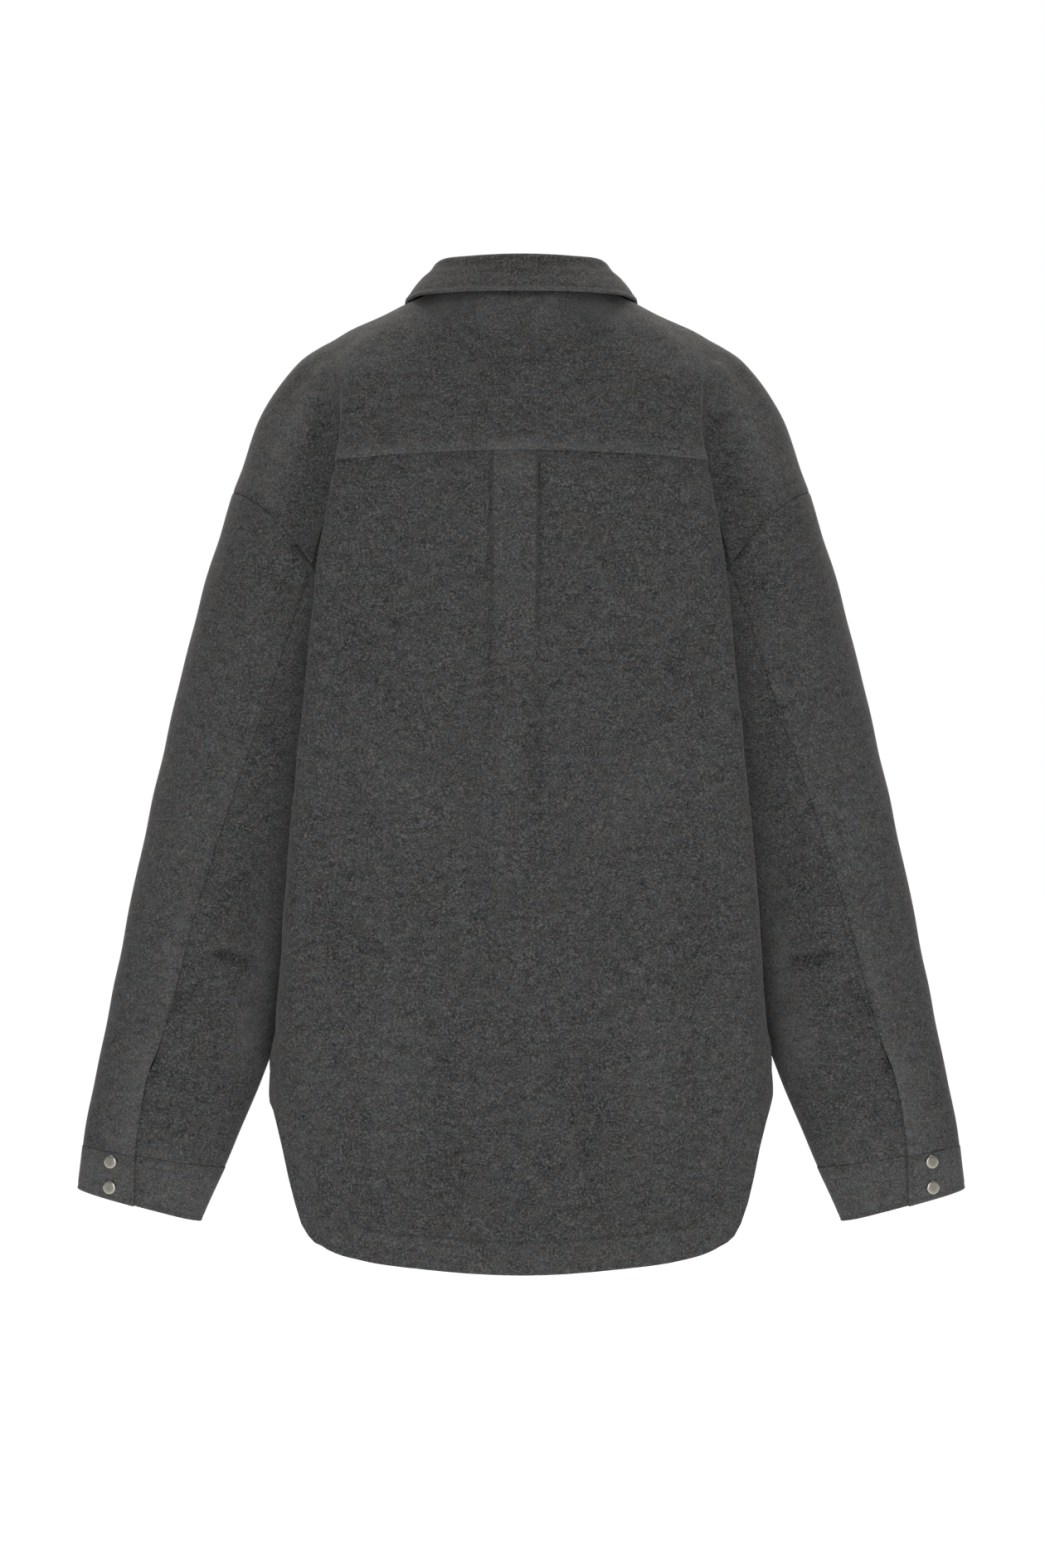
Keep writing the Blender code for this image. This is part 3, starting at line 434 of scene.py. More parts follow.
class Cloth:
    """A panel as a grid of points on its outer face, with how far each lies from the panel's edges."""

    def __init__(self, surface, first, second, steps, outside, sewn=""):
        self.points = surface(first, second)
        self.outward = normals_of(surface, first, second, steps) * outside
        self.from_first_row = lengths_along(self.points, 0)
        self.from_last_row = self.from_first_row[-1] - self.from_first_row
        self.from_first_column = lengths_along(self.points, 1)
        self.from_last_column = self.from_first_column[:, -1:] - self.from_first_column
        self.width = self.from_first_column[:, -1].max()
        self.length = self.from_first_row[-1].max()
        self.relief = swells(self.points)
        # Paleness painted on each point: mostly painted light and painted shade, partly regional tone of the
        # cloth
        self.nap = np.zeros(first.shape)
        self.thickness = np.full(first.shape, CLOTH)
        self.sewn = {edge: 1.0 for edge in sewn.split()}

    def ends(self):
        """How far each point lies from the nearer of the first and the last column."""
        return np.minimum(self.from_first_column, self.from_last_column)

    def crease(self, height):
        """Adds troughs and ridges, with painted light on the ridges and painted shade in the troughs, by
        their height.
        """
        self.relief += height
        self.nap += CREASE_PAINTED_LIGHT * height

    def seam(self, distance, sewn=1.0):
        """Draws the cloth into a seam at a distance from it, where it is sewn, and shades its line."""
        self.relief -= SEAM_DIP * sewn * ramp(distance, (SEAM_REACH, 0.0))
        self.nap -= SEAM_SHADE * sewn * ramp(distance, (SEAM_SHADE_REACH, 0.0))

    def rounding(self):
        """How far each face draws in towards the cloth's middle: free rims are round, sewn ones are not."""
        drawn = np.zeros(self.thickness.shape)
        free = (self.thickness - RIM) / 2
        for edge in ("first_row", "last_row", "first_column", "last_column"):
            radius = free + (SEWN_RADIUS - free) * self.sewn.get(edge, 0.0)
            near = np.clip(getattr(self, "from_" + edge) / radius, 0.0, 1.0)
            drawn = np.maximum(drawn, radius * (1.0 - np.sqrt(1.0 - (1.0 - near) ** 2)))
        return drawn

    def outer(self):
        return self.points + self.outward * (self.relief - self.rounding())[..., None]

    def inner(self):
        return self.points + self.outward * (self.relief - self.thickness + self.rounding())[..., None]

    def area(self):
        """Flat area of the panel."""
        across = np.diff(self.points, axis=1)[:-1]
        down = np.diff(self.points, axis=0)[:, :-1]
        return np.linalg.norm(np.cross(across, down), axis=-1).sum()


def add_object(name, mesh):
    """Puts a mesh in the scene as an object at the origin, shaded smooth."""
    mesh.shade_smooth()
    made = bpy.data.objects.new(name, mesh)
    bpy.context.scene.collection.objects.link(made)
    return made


def shell(name, cloth, side):
    """A closed, thin-walled mesh of a panel, mirrored for the right side."""
    outer = cloth.outer() * on_side(side)
    inner = cloth.inner() * on_side(side)
    outward = cloth.outward * on_side(side)
    number = np.arange(outer[..., 0].size).reshape(outer.shape[:2])
    layer = number.size
    near, far = number[:-1], number[1:]
    face = np.stack((near[:, :-1], near[:, 1:], far[:, 1:], far[:, :-1]), -1).reshape(-1, 4)
    rim = np.concatenate((number[0, :-1], number[:-1, -1], number[-1, :0:-1], number[:0:-1, 0]))
    after = np.roll(rim, -1)
    wall = np.stack((after, rim, rim + layer, after + layer), -1)
    faces = np.vstack((face, face[:, ::-1] + layer, wall))
    across = np.diff(outer, axis=1)[:-1]
    down = np.diff(outer, axis=0)[:, :-1]
    if (np.cross(across, down) * outward[:-1, :-1]).sum() < 0:
        faces = faces[:, ::-1]
    mesh = bpy.data.meshes.new(name)
    points = np.vstack((outer.reshape(-1, 3), inner.reshape(-1, 3)))
    mesh.from_pydata(points.tolist(), [], faces.tolist())
    # Each point carries the panel's painted light and shade, and its regional tone, for the material
    nap = mesh.attributes.new("nap", "FLOAT", "POINT")
    nap.data.foreach_set("value", np.tile(cloth.nap.ravel(), 2))
    return add_object(name, mesh)


class Shade:
    """A socket in a material's tree. Arithmetic on it adds Math nodes, and node() adds any other node."""

    def __init__(self, tree, socket=None):
        self.tree = tree
        self.socket = socket

    def node(self, kind, settings, sockets, output=0):
        made = self.tree.nodes.new(kind)
        for name, value in settings.items():
            setattr(made, name, value)
        for name, value in sockets.items():
            if isinstance(value, Shade):
                self.tree.links.new(value.socket, made.inputs[name])
            else:
                made.inputs[name].default_value = value
        return Shade(self.tree, made.outputs[output])

    def maths(self, operation, first, second):
        return self.node("ShaderNodeMath", {"operation": operation}, {0: first, 1: second})

    def __add__(self, other):
        return self.maths("ADD", self, other)

    def __sub__(self, other):
        return self.maths("SUBTRACT", self, other)

    def __rsub__(self, other):
        return self.maths("SUBTRACT", other, self)

    def __mul__(self, other):
        return self.maths("MULTIPLY", self, other)

    __radd__ = __add__
    __rmul__ = __mul__

    def place(self):
        """Where a point lies on the garment, in metres."""
        return self.node("ShaderNodeTexCoord", {}, {}, "Object")

    def noise(self, size, detail, roughness):
        """Soft noise with features of a size in metres, at this place."""
        values = {"Vector": self, "Scale": 1.0 / size, "Detail": detail, "Roughness": roughness}
        return self.node("ShaderNodeTexNoise", {}, values)

    def stretched(self, scale):
        """This place, closer together along an axis where its scale is above 1."""
        return self.node("ShaderNodeMapping", {}, {"Vector": self, "Scale": scale})

    def blend(self, first, second):
        """A colour between two others, by this value."""
        settings = {"data_type": "RGBA", "clamp_factor": True}
        return self.node("ShaderNodeMix", settings, {"Factor": self, 6: first, 7: second}, 2)

    def tinted(self, tint):
        """This colour multiplied by a tint."""
        settings = {"data_type": "RGBA", "blend_type": "MULTIPLY"}
        return self.node("ShaderNodeMix", settings, {"Factor": 1.0, 6: self, 7: tint}, 2)


def material(name, build, **constants):
    """A material whose Principled shader takes the sockets that build gives and some constant ones."""
    made = bpy.data.materials.new(name)
    made.use_nodes = True
    shader = made.node_tree.nodes["Principled BSDF"]
    for socket, value in build(Shade(made.node_tree)).items():
        made.node_tree.links.new(value.socket, shader.inputs[socket])
    for socket, value in constants.items():
        shader.inputs[socket.replace("_", " ")].default_value = value
    return made


# Flannel: its dark and pale fibres, the tints they take, and the sizes in metres of its flecks, fibres, the
# patches where flecks are stronger, its mottle and its tints
CHARCOAL_DARK = (0.0130, 0.0132, 0.0133, 1.0)
CHARCOAL_PALE = (0.1080, 0.1082, 0.1075, 1.0)
OLIVE_TINT = (1.032, 1.006, 0.956, 1.0)
SLATE_TINT = (0.960, 1.006, 1.028, 1.0)
FLECK_SIZE = 0.0016
FIBRE_SIZE = 0.0011
PATCH_SIZE = 0.009
MOTTLE_SIZE = 0.0100
TINT_SIZE = 0.009
FLECK_STRETCH = (1.0, 1.0, 1.15)
MOTTLE_STRETCH = (1.0, 1.0, 1.9)
# How the noises add up to the share of pale fibres: the mean share, and what each of them brings to it
MEAN_SHARE = 0.332
FLECK_CONTRAST = 0.52
FLECK_IN_PATCH = 2.7
FLECK_PEAKS = 5.6
PALE_FIBRE_FROM = 0.58
PALE_FIBRES = 3.45
MOTTLE_CONTRAST = 0.66
# How strongly each point's painted light and shade and regional tone move the share of pale fibres
TONE_AND_LIGHT_CONTRAST = 0.55
TINT_CONTRAST = 3.0
FLECK_HEIGHT, FIBRE_HEIGHT = 0.7, 0.3


def flannel(tree):
    """Wool-like melange: dark and pale fibres mixed in short flecks, brushed to a soft, dull nap."""
    place = tree.place()
    squashed = place.stretched(FLECK_STRETCH)
    flecks = squashed.noise(FLECK_SIZE, 2.0, 0.6)
    fibres = squashed.noise(FIBRE_SIZE, 1.0, 0.5)
    patches = squashed.noise(PATCH_SIZE, 1.0, 0.5)
    mottle = place.stretched(MOTTLE_STRETCH).noise(MOTTLE_SIZE, 3.0, 0.65)
    tint = place.noise(TINT_SIZE, 1.0, 0.5)
    # The painted light and shade and the regional tone that the panels carry
    nap = tree.node("ShaderNodeAttribute", {"attribute_name": "nap"}, {}, "Fac")
    pale = tree.maths("MAXIMUM", fibres - PALE_FIBRE_FROM, 0.0)
    grain = flecks - 0.5
    grain = grain * (grain * FLECK_PEAKS + patches * FLECK_IN_PATCH + FLECK_CONTRAST)
    share = grain + pale * PALE_FIBRES + (mottle - 0.5) * MOTTLE_CONTRAST + MEAN_SHARE + nap * TONE_AND_LIGHT_CONTRAST
    hue = ((tint - 0.5) * TINT_CONTRAST + 0.5).blend(SLATE_TINT, OLIVE_TINT)
    height = flecks * FLECK_HEIGHT + fibres * FIBRE_HEIGHT
    bump = tree.node("ShaderNodeBump", {}, {"Strength": 0.40, "Distance": 0.0007, "Height": height})
    return {"Base Color": share.blend(CHARCOAL_DARK, CHARCOAL_PALE).tinted(hue), "Normal": bump}


FLANNEL = material(
    "charcoal_flannel",
    flannel,
    Roughness=0.95,
    Specular_IOR_Level=0.12,
    Sheen_Weight=0.10,
    Sheen_Roughness=0.40,
    Sheen_Tint=(0.90, 0.87, 0.82, 1.0),
)


def hand_over(node, cloth, side=LEFT):
    """Makes the shell of a panel, which replaces its solid and rides with the shirt, and works out its flat
    area.
    """
    made = shell(node + "_cloth", cloth, side)
    made.data.materials.append(FLANNEL)
    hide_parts(node)
    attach(made, "root")
    cloth.area()


yoke_share = paced(yoke_surface, -1.0, 1.0, second=YOKE_PACED_LEVEL)
yoke_ends = (YOKE_SEAM + SEAM_GAP / 2, YOKE_TOP)
yoke_level = paced(yoke_surface, *yoke_ends, first=YOKE_PACED_SHARE, marks=(YOKE_BAND,))
yoke_share, yoke_level = np.meshgrid(yoke_share, yoke_level)
yoke_share = drawn_in(BACK_NET, yoke_share, yoke_level)
yoke = Cloth(yoke_surface, yoke_share, yoke_level, BODY_STEPS, -1.0, "last_row first_column last_column")
yoke_x, yoke_y, yoke_z = np.moveaxis(yoke.points, -1, 0)
yoke_behind = ramp(yoke_y, YOKE_BEHIND)
yoke_band = ramp(yoke.from_first_row, YOKE_BAND_FADE)
over_pleat = mound(yoke_x, PLEAT_CENTRE, PLEAT_LIFT_WIDTH, 4)
yoke.relief *= YOKE_SWELL_SHARE
yoke.crease(creases(yoke.points, YOKE_CREASES) * yoke_behind)
yoke.relief += yoke_band * (YOKE_BAND_RISE + PLEAT_LIFT * over_pleat)
settled = ramp(yoke.outward[..., 1], YOKE_SETTLE_FACING)
settled *= ramp(yoke.from_last_row, YOKE_SETTLE_EDGE) * ramp(yoke.ends(), YOKE_SETTLE_EDGE)
yoke.relief -= YOKE_SETTLE * settled
yoke.seam(yoke.ends())
yoke.nap += YOKE_BAND_PALER * yoke_band * (YOKE_BAND_SIDE_SHARE + (1.0 - YOKE_BAND_SIDE_SHARE) * over_pleat)
# Painted light on the shoulders' tops, in bands over them, and below and beside the collar against its shade
yoke.nap += SHOULDER_PAINTED_LIGHT * ramp(yoke.outward[..., 2], SHOULDER_FACING)
yoke.nap += creases(yoke.points, PAINTED_LIGHT_BANDS) * yoke_behind
yoke.nap += COLLAR_PAINTED_LIGHT * ramp(yoke.from_last_row, (COLLAR_REACH, 0.0)) * yoke_behind
collar_side = mound(np.abs(yoke_x), COLLAR_SIDE_X, COLLAR_SIDE_WIDTH) * ramp(yoke_z, COLLAR_SIDE_LEVELS)
yoke.nap += COLLAR_SIDE_PAINTED_LIGHT * collar_side * yoke_behind

# Back
# One piece of flannel from the yoke seam to a curved shirt-tail hem, with a box pleat pressed into its top.
# The hem is turned up 26 mm and stitched through, and the side seams join the back to the fronts.
HEM = columns(
    "share height",
    (0.000, -0.7496),
    (0.240, -0.7449),
    (0.360, -0.7393),
    (0.460, -0.7300),
    (0.510, -0.7200),
    (0.530, -0.7080),
    (0.550, -0.6840),
    (0.583, -0.6405),
    (0.625, -0.6200),
    (0.700, -0.6080),
    (1.000, -0.6000),
)
HEM_TURN = 0.026
HEM_STEP = 0.002
HEM_RISE = 0.0006
# How much paler the turned-up band is
HEM_PALER = 0.12
HEM_PUCKER = 0.0003
HEM_ROPE_LENGTH = 0.019
HEM_ROPE_DRIFT = 1.7
HEM_ROPE_DRIFT_LENGTH = 0.083
GROOVE = 0.0005
GROOVE_WIDTH = 0.0012
YOKE_LAP = 0.004
YOKE_LAP_FADE = 0.009
YOKE_LAP_CLEAR = 0.0004
BACK_PACED_LEVEL = -0.200
BODY_CREASE_DEPTH = (0.03, 0.06)

# The box pleat: its height and the softness of its folds at each level, its lean, the crease outside each
# fold with the levels where it ends, and the painted light on its raised box
PLEAT = columns(
    "level height edge",
    (YOKE_SEAM, 0.0046, 0.0012),
    (-0.2000, 0.0042, 0.0015),
    (-0.2700, 0.0030, 0.0030),
    (-0.3300, 0.0014, 0.0060),
    (-0.4000, 0.0004, 0.0100),
    (-0.4700, 0.0000, 0.0120),
)
PLEAT_SPREAD = np.linspace(-0.2, 0.2, 200)
PLEAT_FOLD_COLUMNS = np.linspace(-0.012, 0.012, 13)
PLEAT_SEAM_SHARE = 0.25
PLEAT_SEAM_REACH = 0.014
PLEAT_LEAN = 0.0040
PLEAT_LEAN_LEVELS = (-0.310, -0.250)
PLEAT_CREASE = 0.0009
PLEAT_CREASE_WIDTH = 0.0009
PLEAT_CREASE_START = 0.004
PLEAT_CREASE_ENDS = (-0.310, -0.275)
PLEAT_CREASE_FADE = 0.070
PLEAT_BOX = (PLEAT_HALF_WIDTH, PLEAT_HALF_WIDTH - 0.002)
# Painted light on the pleat's raised box, and more of it at the box's top
PLEAT_PAINTED_LIGHT = 0.10
PLEAT_LIGHT_LEVELS = (-0.330, -0.210)
PLEAT_TOP_PAINTED_LIGHT = 0.18
PLEAT_TOP_LEVELS = (-0.148, -0.128)

# Creases alike on both sides of the back, and those in the middle that are not
BACK_CREASES = columns(
    CREASE,
    (0.1480, -0.1330, 0.1180, -0.1335, 0.001, 0.0028, -0.0014),
    (0.1490, -0.1420, 0.1240, -0.1470, 0.001, 0.0040, 0.0009),
    (0.1300, -0.1500, 0.0700, -0.1750, 0.004, 0.0100, -0.0009),
    (0.1420, -0.2250, 0.0900, -0.3000, 0.008, 0.0160, -0.0014),
    (0.1350, -0.3300, 0.0600, -0.4300, -0.010, 0.0200, 0.0018),
    (0.1500, -0.4200, 0.1050, -0.5600, 0.010, 0.0180, -0.0015),
    (0.1000, -0.5000, 0.0880, -0.6900, 0.006, 0.0190, 0.0018),
    (0.0560, -0.5600, 0.0600, -0.7100, -0.004, 0.0170, -0.0015),
    (0.1650, -0.5400, 0.1500, -0.6800, 0.003, 0.0140, 0.0015),
    (0.1895, -0.5680, 0.1935, -0.5960, 0.000, 0.0055, 0.0017),
    (0.1080, -0.6270, 0.0780, -0.6260, 0.001, 0.0030, -0.0009),
    (0.1380, -0.6560, 0.1120, -0.6620, -0.001, 0.0040, -0.0008),
)
PLEAT_CREASES = columns(
    CREASE,
    (-0.0160, -0.2700, -0.0120, -0.4400, 0.003, 0.0070, -0.0021),
    (0.0230, -0.2400, 0.0270, -0.3300, -0.002, 0.0060, -0.0016),
    (0.0050, -0.3000, 0.0080, -0.4600, 0.002, 0.0120, 0.0013),
    (0.0200, -0.6400, -0.0080, -0.6420, 0.001, 0.0030, -0.0007),
)


def pleat_relief(points, level):
    """Height of the box pleat, which flattens into the yoke seam and has a crease outside each fold."""
    shown = np.clip(level, PLEAT["level"][-1], PLEAT["level"][0])
    height = read_curve(PLEAT["level"], PLEAT["height"], shown)
    edge = read_curve(PLEAT["level"], PLEAT["edge"], shown)
    below_seam = YOKE_SEAM - level
    from_centre = points[..., 0] - PLEAT_CENTRE - np.interp(level, PLEAT_LEAN_LEVELS, (PLEAT_LEAN, 0.0))
    inside = PLEAT_HALF_WIDTH - np.abs(from_centre)
    flat = PLEAT_SEAM_SHARE + (1.0 - PLEAT_SEAM_SHARE) * ramp(below_seam, (0.0, PLEAT_SEAM_REACH))
    crease_end = np.where(from_centre > 0.0, *PLEAT_CREASE_ENDS)
    crease = mound(inside, -PLEAT_CREASE_WIDTH, PLEAT_CREASE_WIDTH)
    crease *= ramp(level - crease_end, (0.0, PLEAT_CREASE_FADE))
    crease *= ramp(below_seam, (0.0, PLEAT_CREASE_START))
    return height * flat * ramp(inside, (-edge, edge)) - PLEAT_CREASE * crease


def hem_grid(across, top):
    """Shares and levels of a body panel from a top level to the hem, with rows beside the hem's stitches."""
    edge = read_curve(*past_centre(HEM["share"], HEM["height"]), np.abs(across))
    drop = top - HEM["height"][0]
    down = stations(drop, GRID_SPACING, (drop - HEM_TURN,)) / drop
    level = top + down[:, None] * (edge - top)
    return np.repeat(across[None, :], len(down), axis=0), level


def groove(distance, at):
    """Height of cloth that a line of stitches draws in, at a distance from an edge."""
    return -GROOVE * mound(distance, at, GROOVE_WIDTH)


def turn_hem(cloth):
    """Thickens the turned-up band above a panel's hem, draws in its stitches and lets it rope a little."""
    cloth.from_last_row = away_from(cloth.points, cloth.points[-1])
    band = ramp(cloth.from_last_row, (HEM_TURN, HEM_TURN - HEM_STEP))
    turn = cloth.from_first_column * 2.0 * math.pi
    rope = np.sin(turn / HEM_ROPE_LENGTH + HEM_ROPE_DRIFT * np.sin(turn / HEM_ROPE_DRIFT_LENGTH))
    cloth.relief += band * (HEM_RISE + HEM_PUCKER * rope) + groove(cloth.from_last_row, HEM_TURN)
    cloth.nap += HEM_PALER * band
    cloth.thickness += CLOTH * band


def line_on(cloth, distances, at, down=True):
    """A line on a cloth's outer face at a distance from an edge, and the way the cloth faces along it.

    down is true where the distances grow along the columns of the grid, and false where along its rows.
    """
    outer, outward = cloth.outer(), cloth.outward
    if not down:
        outer, outward, distances = outer.swapaxes(0, 1), outward.swapaxes(0, 1), distances.T
    points, ways = [], []
    for column in range(distances.shape[1]):
        order = np.argsort(distances[:, column])
        row = np.interp(at, distances[order, column], order)
        low = min(int(row), len(order) - 2)
        share = row - low
        points.append(outer[low, column] * (1.0 - share) + outer[low + 1, column] * share)
        ways.append(outward[low, column])
    return np.array(points), np.array(ways)


STITCH_SIZES = {"Pitch": 0.0034, "Stitch Length": 0.0027, "Thread Radius": 0.00034}
BEAD_SIDES = {"Segments": 6, "Rings": 4}
TWIST_SIZE = 0.0006
THREAD_GREY = (0.030, 0.030, 0.029, 1.0)
THREAD_PALE = (0.062, 0.061, 0.058, 1.0)


def thread(tree):
    """Matt spun thread, a little darker than the cloth, with its twist as fine light and dark."""
    return {"Base Color": tree.place().noise(TWIST_SIZE, 1.0, 0.5).blend(THREAD_GREY, THREAD_PALE)}


THREAD = material("charcoal_thread", thread, Roughness=0.8)


def stitch_tree():
    """Nodes that lay a stitch at every pitch along a path, turned to the way that the cloth faces there."""
    tree = bpy.data.node_groups.new("row_of_stitches", "GeometryNodeTree")
    tree.interface.new_socket("Path", in_out="INPUT", socket_type="NodeSocketGeometry")
    for name, size in STITCH_SIZES.items():
        tree.interface.new_socket(name, in_out="INPUT", socket_type="NodeSocketFloat").default_value = size
    tree.interface.new_socket("Thread", in_out="INPUT", socket_type="NodeSocketMaterial")
    tree.interface.new_socket("Stitches", in_out="OUTPUT", socket_type="NodeSocketGeometry")

    def add(kind, links, **settings):
        made = tree.nodes.new(kind)
        for name, value in settings.items():
            setattr(made, name, value)
        for name, source in links.items():
            if isinstance(source, bpy.types.NodeSocket):
                tree.links.new(source, made.inputs[name])
            else:
                made.inputs[name].default_value = source
        return made.outputs

    given = add("NodeGroupInput", {})
    path = add("GeometryNodeMeshToCurve", {"Mesh": given["Path"]})[0]
    even = add("GeometryNodeResampleCurve", {"Curve": path, "Length": given["Pitch"]}, mode="LENGTH")[0]
    facing = add("GeometryNodeInputNamedAttribute", {"Name": "outward"}, data_type="FLOAT_VECTOR")[0]
    tangent = add("GeometryNodeInputTangent", {})[0]
    laid = add("FunctionNodeAlignRotationToVector", {"Vector": tangent}, axis="X")[0]
    links = {"Rotation": laid, "Vector": facing}
    turned = add("FunctionNodeAlignRotationToVector", links, axis="Z", pivot_axis="X")[0]
    half = add("ShaderNodeMath", {0: given["Stitch Length"], 1: 0.5}, operation="MULTIPLY")[0]
    radius = given["Thread Radius"]
    size = add("ShaderNodeCombineXYZ", {"X": half, "Y": radius, "Z": radius})[0]
    bead = add("GeometryNodeMeshUVSphere", BEAD_SIDES)[0]
    links = {"Points": even, "Instance": bead, "Rotation": turned, "Scale": size}
    rows = add("GeometryNodeInstanceOnPoints", links)[0]
    real = add("GeometryNodeRealizeInstances", {"Geometry": rows})[0]
    made = add("GeometryNodeSetMaterial", {"Geometry": real, "Material": given["Thread"]})[0]
    add("NodeGroupOutput", {"Stitches": made})
    return tree


STITCHES = stitch_tree()


def sew(name, lines, side=LEFT):
    """A piece with the stitches of some lines of cloth, each given as its points and the way it faces."""
    edges, start = [], 0
    for line, _ in lines:
        edges += [(start + i, start + i + 1) for i in range(len(line) - 1)]
        start += len(line)
    mesh = bpy.data.meshes.new(name + "_path")
    mesh.from_pydata((np.vstack([line for line, _ in lines]) * on_side(side)).tolist(), edges, [])
    facing = mesh.attributes.new("outward", "FLOAT_VECTOR", "POINT")
    facing.data.foreach_set("vector", (np.vstack([ways for _, ways in lines]) * on_side(side)).ravel())
    path = add_object(name + "_path", mesh)
    rows = path.modifiers.new("stitches", "NODES")
    rows.node_group = STITCHES
    identifiers = {socket.name: socket.identifier for socket in STITCHES.interface.items_tree}
    for socket, value in {**STITCH_SIZES, "Thread": THREAD}.items():
        rows[identifiers[socket]] = value
    evaluated = path.evaluated_get(bpy.context.evaluated_depsgraph_get())
    stitches = bpy.data.meshes.new_from_object(evaluated)
    bpy.data.objects.remove(path)
    made = add_object(name, stitches)
    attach(made, "root")
    return made


back_line = paced(yoke_surface, -1.0, 1.0, second=BACK_PACED_LEVEL)
pleat_x = yoke_surface(PLEAT_SPREAD, np.full_like(PLEAT_SPREAD, BACK_PACED_LEVEL))[:, 0]
pleat_folds = [PLEAT_CENTRE + way * PLEAT_HALF_WIDTH for way in (-1.0, 1.0)]
pleat_columns = np.interp(pleat_folds, pleat_x, PLEAT_SPREAD)[:, None] + PLEAT_FOLD_COLUMNS
back_line = np.unique(np.round(np.concatenate((back_line, pleat_columns.ravel())), 5))
back_share, back_level = hem_grid(back_line, YOKE_SEAM + YOKE_LAP)
back_share = drawn_in(BACK_NET, back_share, back_level)
back = Cloth(yoke_surface, back_share, back_level, BODY_STEPS, -1.0, "first_column last_column")
back.relief += pleat_relief(back.points, back_level)
pleat_box = ramp(np.abs(back.points[..., 0] - PLEAT_CENTRE), PLEAT_BOX)
# Painted light on the raised box of the pleat
back.nap += PLEAT_PAINTED_LIGHT * pleat_box * ramp(back_level, PLEAT_LIGHT_LEVELS)
back.nap += PLEAT_TOP_PAINTED_LIGHT * pleat_box * ramp(back_level, PLEAT_TOP_LEVELS)
back.crease(creases(back.points, BACK_CREASES) * ramp(back.points[..., 1], BODY_CREASE_DEPTH))
back.crease(creases(back.points, PLEAT_CREASES, both_sides=False) * (back.points[..., 1] > 0.0))
under_yoke = CLOTH - YOKE_BAND_RISE + YOKE_LAP_CLEAR
back.relief -= under_yoke * ramp(back.from_first_row, (YOKE_LAP + YOKE_LAP_FADE, YOKE_LAP))
back.seam(back.ends())
turn_hem(back)
back_stitches = sew("back_hem_stitches", [line_on(back, back.from_last_row, HEM_TURN)])
hand_over("back", back)

# Fronts
# Two plain pieces of flannel, joined to the yoke over the shoulders and to the back down the sides. The
# right front laps over the left at the centre, where both edges are turned under and stitched, and snaps
# close it.
FRONT_NECKLINE = columns(
    "neck_x neck_y neck_z",
    (0.000, -0.080, -0.062),
    (0.040, -0.070, -0.044),
    (0.062, -0.050, -0.012),
)
FRONT_RISE_SHARES = (0.0, 0.3, 0.65)
FRONT_PULL_TO_ARMHOLE = np.array((0.0, 0.0, 0.0, 0.0, 0.0, 0.0, 0.0, 0.08, 0.25, 0.6, 1.0))
FRONT_SHOULDER_GAP = 0.0004
FRONT_LAP_REACH = (0.076, 0.016)
FRONT_LAP_STEP = 0.0020
FRONT_EDGE_SHARE = -0.063
FRONT_PACED_LEVEL = -0.300
FRONT_EDGE_STITCH = 0.006
SHOULDER_LEAN = 0.010
SHOULDER_LEAN_SHARES = (SHOULDER_SHARE - 0.01, SHOULDER_SHARE)
FRONT_CREASES = columns(
    CREASE,
    (0.0800, -0.0400, 0.1350, -0.1500, 0.006, 0.0120, -0.0022),
    (0.1050, -0.0500, 0.1500, -0.1350, 0.004, 0.0100, 0.0020),
    (0.1380, -0.1900, 0.0800, -0.3000, 0.010, 0.0150, -0.0021),
    (0.1200, -0.3000, 0.0500, -0.4000, -0.010, 0.0190, 0.0018),
    (0.1450, -0.3900, 0.1000, -0.5500, 0.008, 0.0170, -0.0017),
    (0.0800, -0.4600, 0.0680, -0.6700, 0.005, 0.0170, 0.0018),
    (0.1200, -0.5200, 0.1300, -0.7000, -0.005, 0.0160, -0.0015),
    (0.0420, -0.5500, 0.0450, -0.7000, 0.003, 0.0130, -0.0013),
    (0.1600, -0.5200, 0.1560, -0.6600, 0.004, 0.0140, 0.0014),
)


def front_net():
    """Levels, sections and armhole angles of a front, from below the hem to the neck and shoulder."""
    levels, rows, angles = level_sections(-1)
    under = rows[-1]
    neck = points_of(FRONT_NECKLINE, "neck")
    shoulder = points_of(YOKE, "top")[len(neck):]
    top = np.vstack((neck, shoulder, armhole(FORWARD_SEAM_ANGLE)))
    for share in reversed(FRONT_RISE_SHARES):
        turn = share * math.pi / 2
        row = top + (under - top) * np.array((share, math.sin(turn), 1.0 - math.cos(turn)))
        angle = FORWARD_SEAM_ANGLE - (180.0 + FORWARD_SEAM_ANGLE) * share
        row = row + FRONT_PULL_TO_ARMHOLE[:, None] * (armhole(angle) - row[-1])
        rows.append(row)
        levels.append(row[0][2])
        angles.append(angle)
    return np.array(levels), np.array(rows), np.array(angles)


FRONT_NET = front_net()
FRONT_BELOW, FRONT_TOP = FRONT_NET[0][-2:]


def front_points(share, level):
    """Points of a left front, whose shoulder edge follows the yoke's."""
    shoulder = np.maximum(np.abs(share), SHOULDER_SHARE)
    yoke_edge = read_net(BACK_NET, shoulder, np.full_like(level, YOKE_TOP))
    own_edge = read_net(FRONT_NET, shoulder, np.full_like(level, FRONT_TOP))
    near = ramp(level, (FRONT_BELOW, FRONT_TOP)) * (np.abs(share) > SHOULDER_SHARE)
    return read_net(FRONT_NET, share, level) + near[..., None] * (yoke_edge - own_edge)


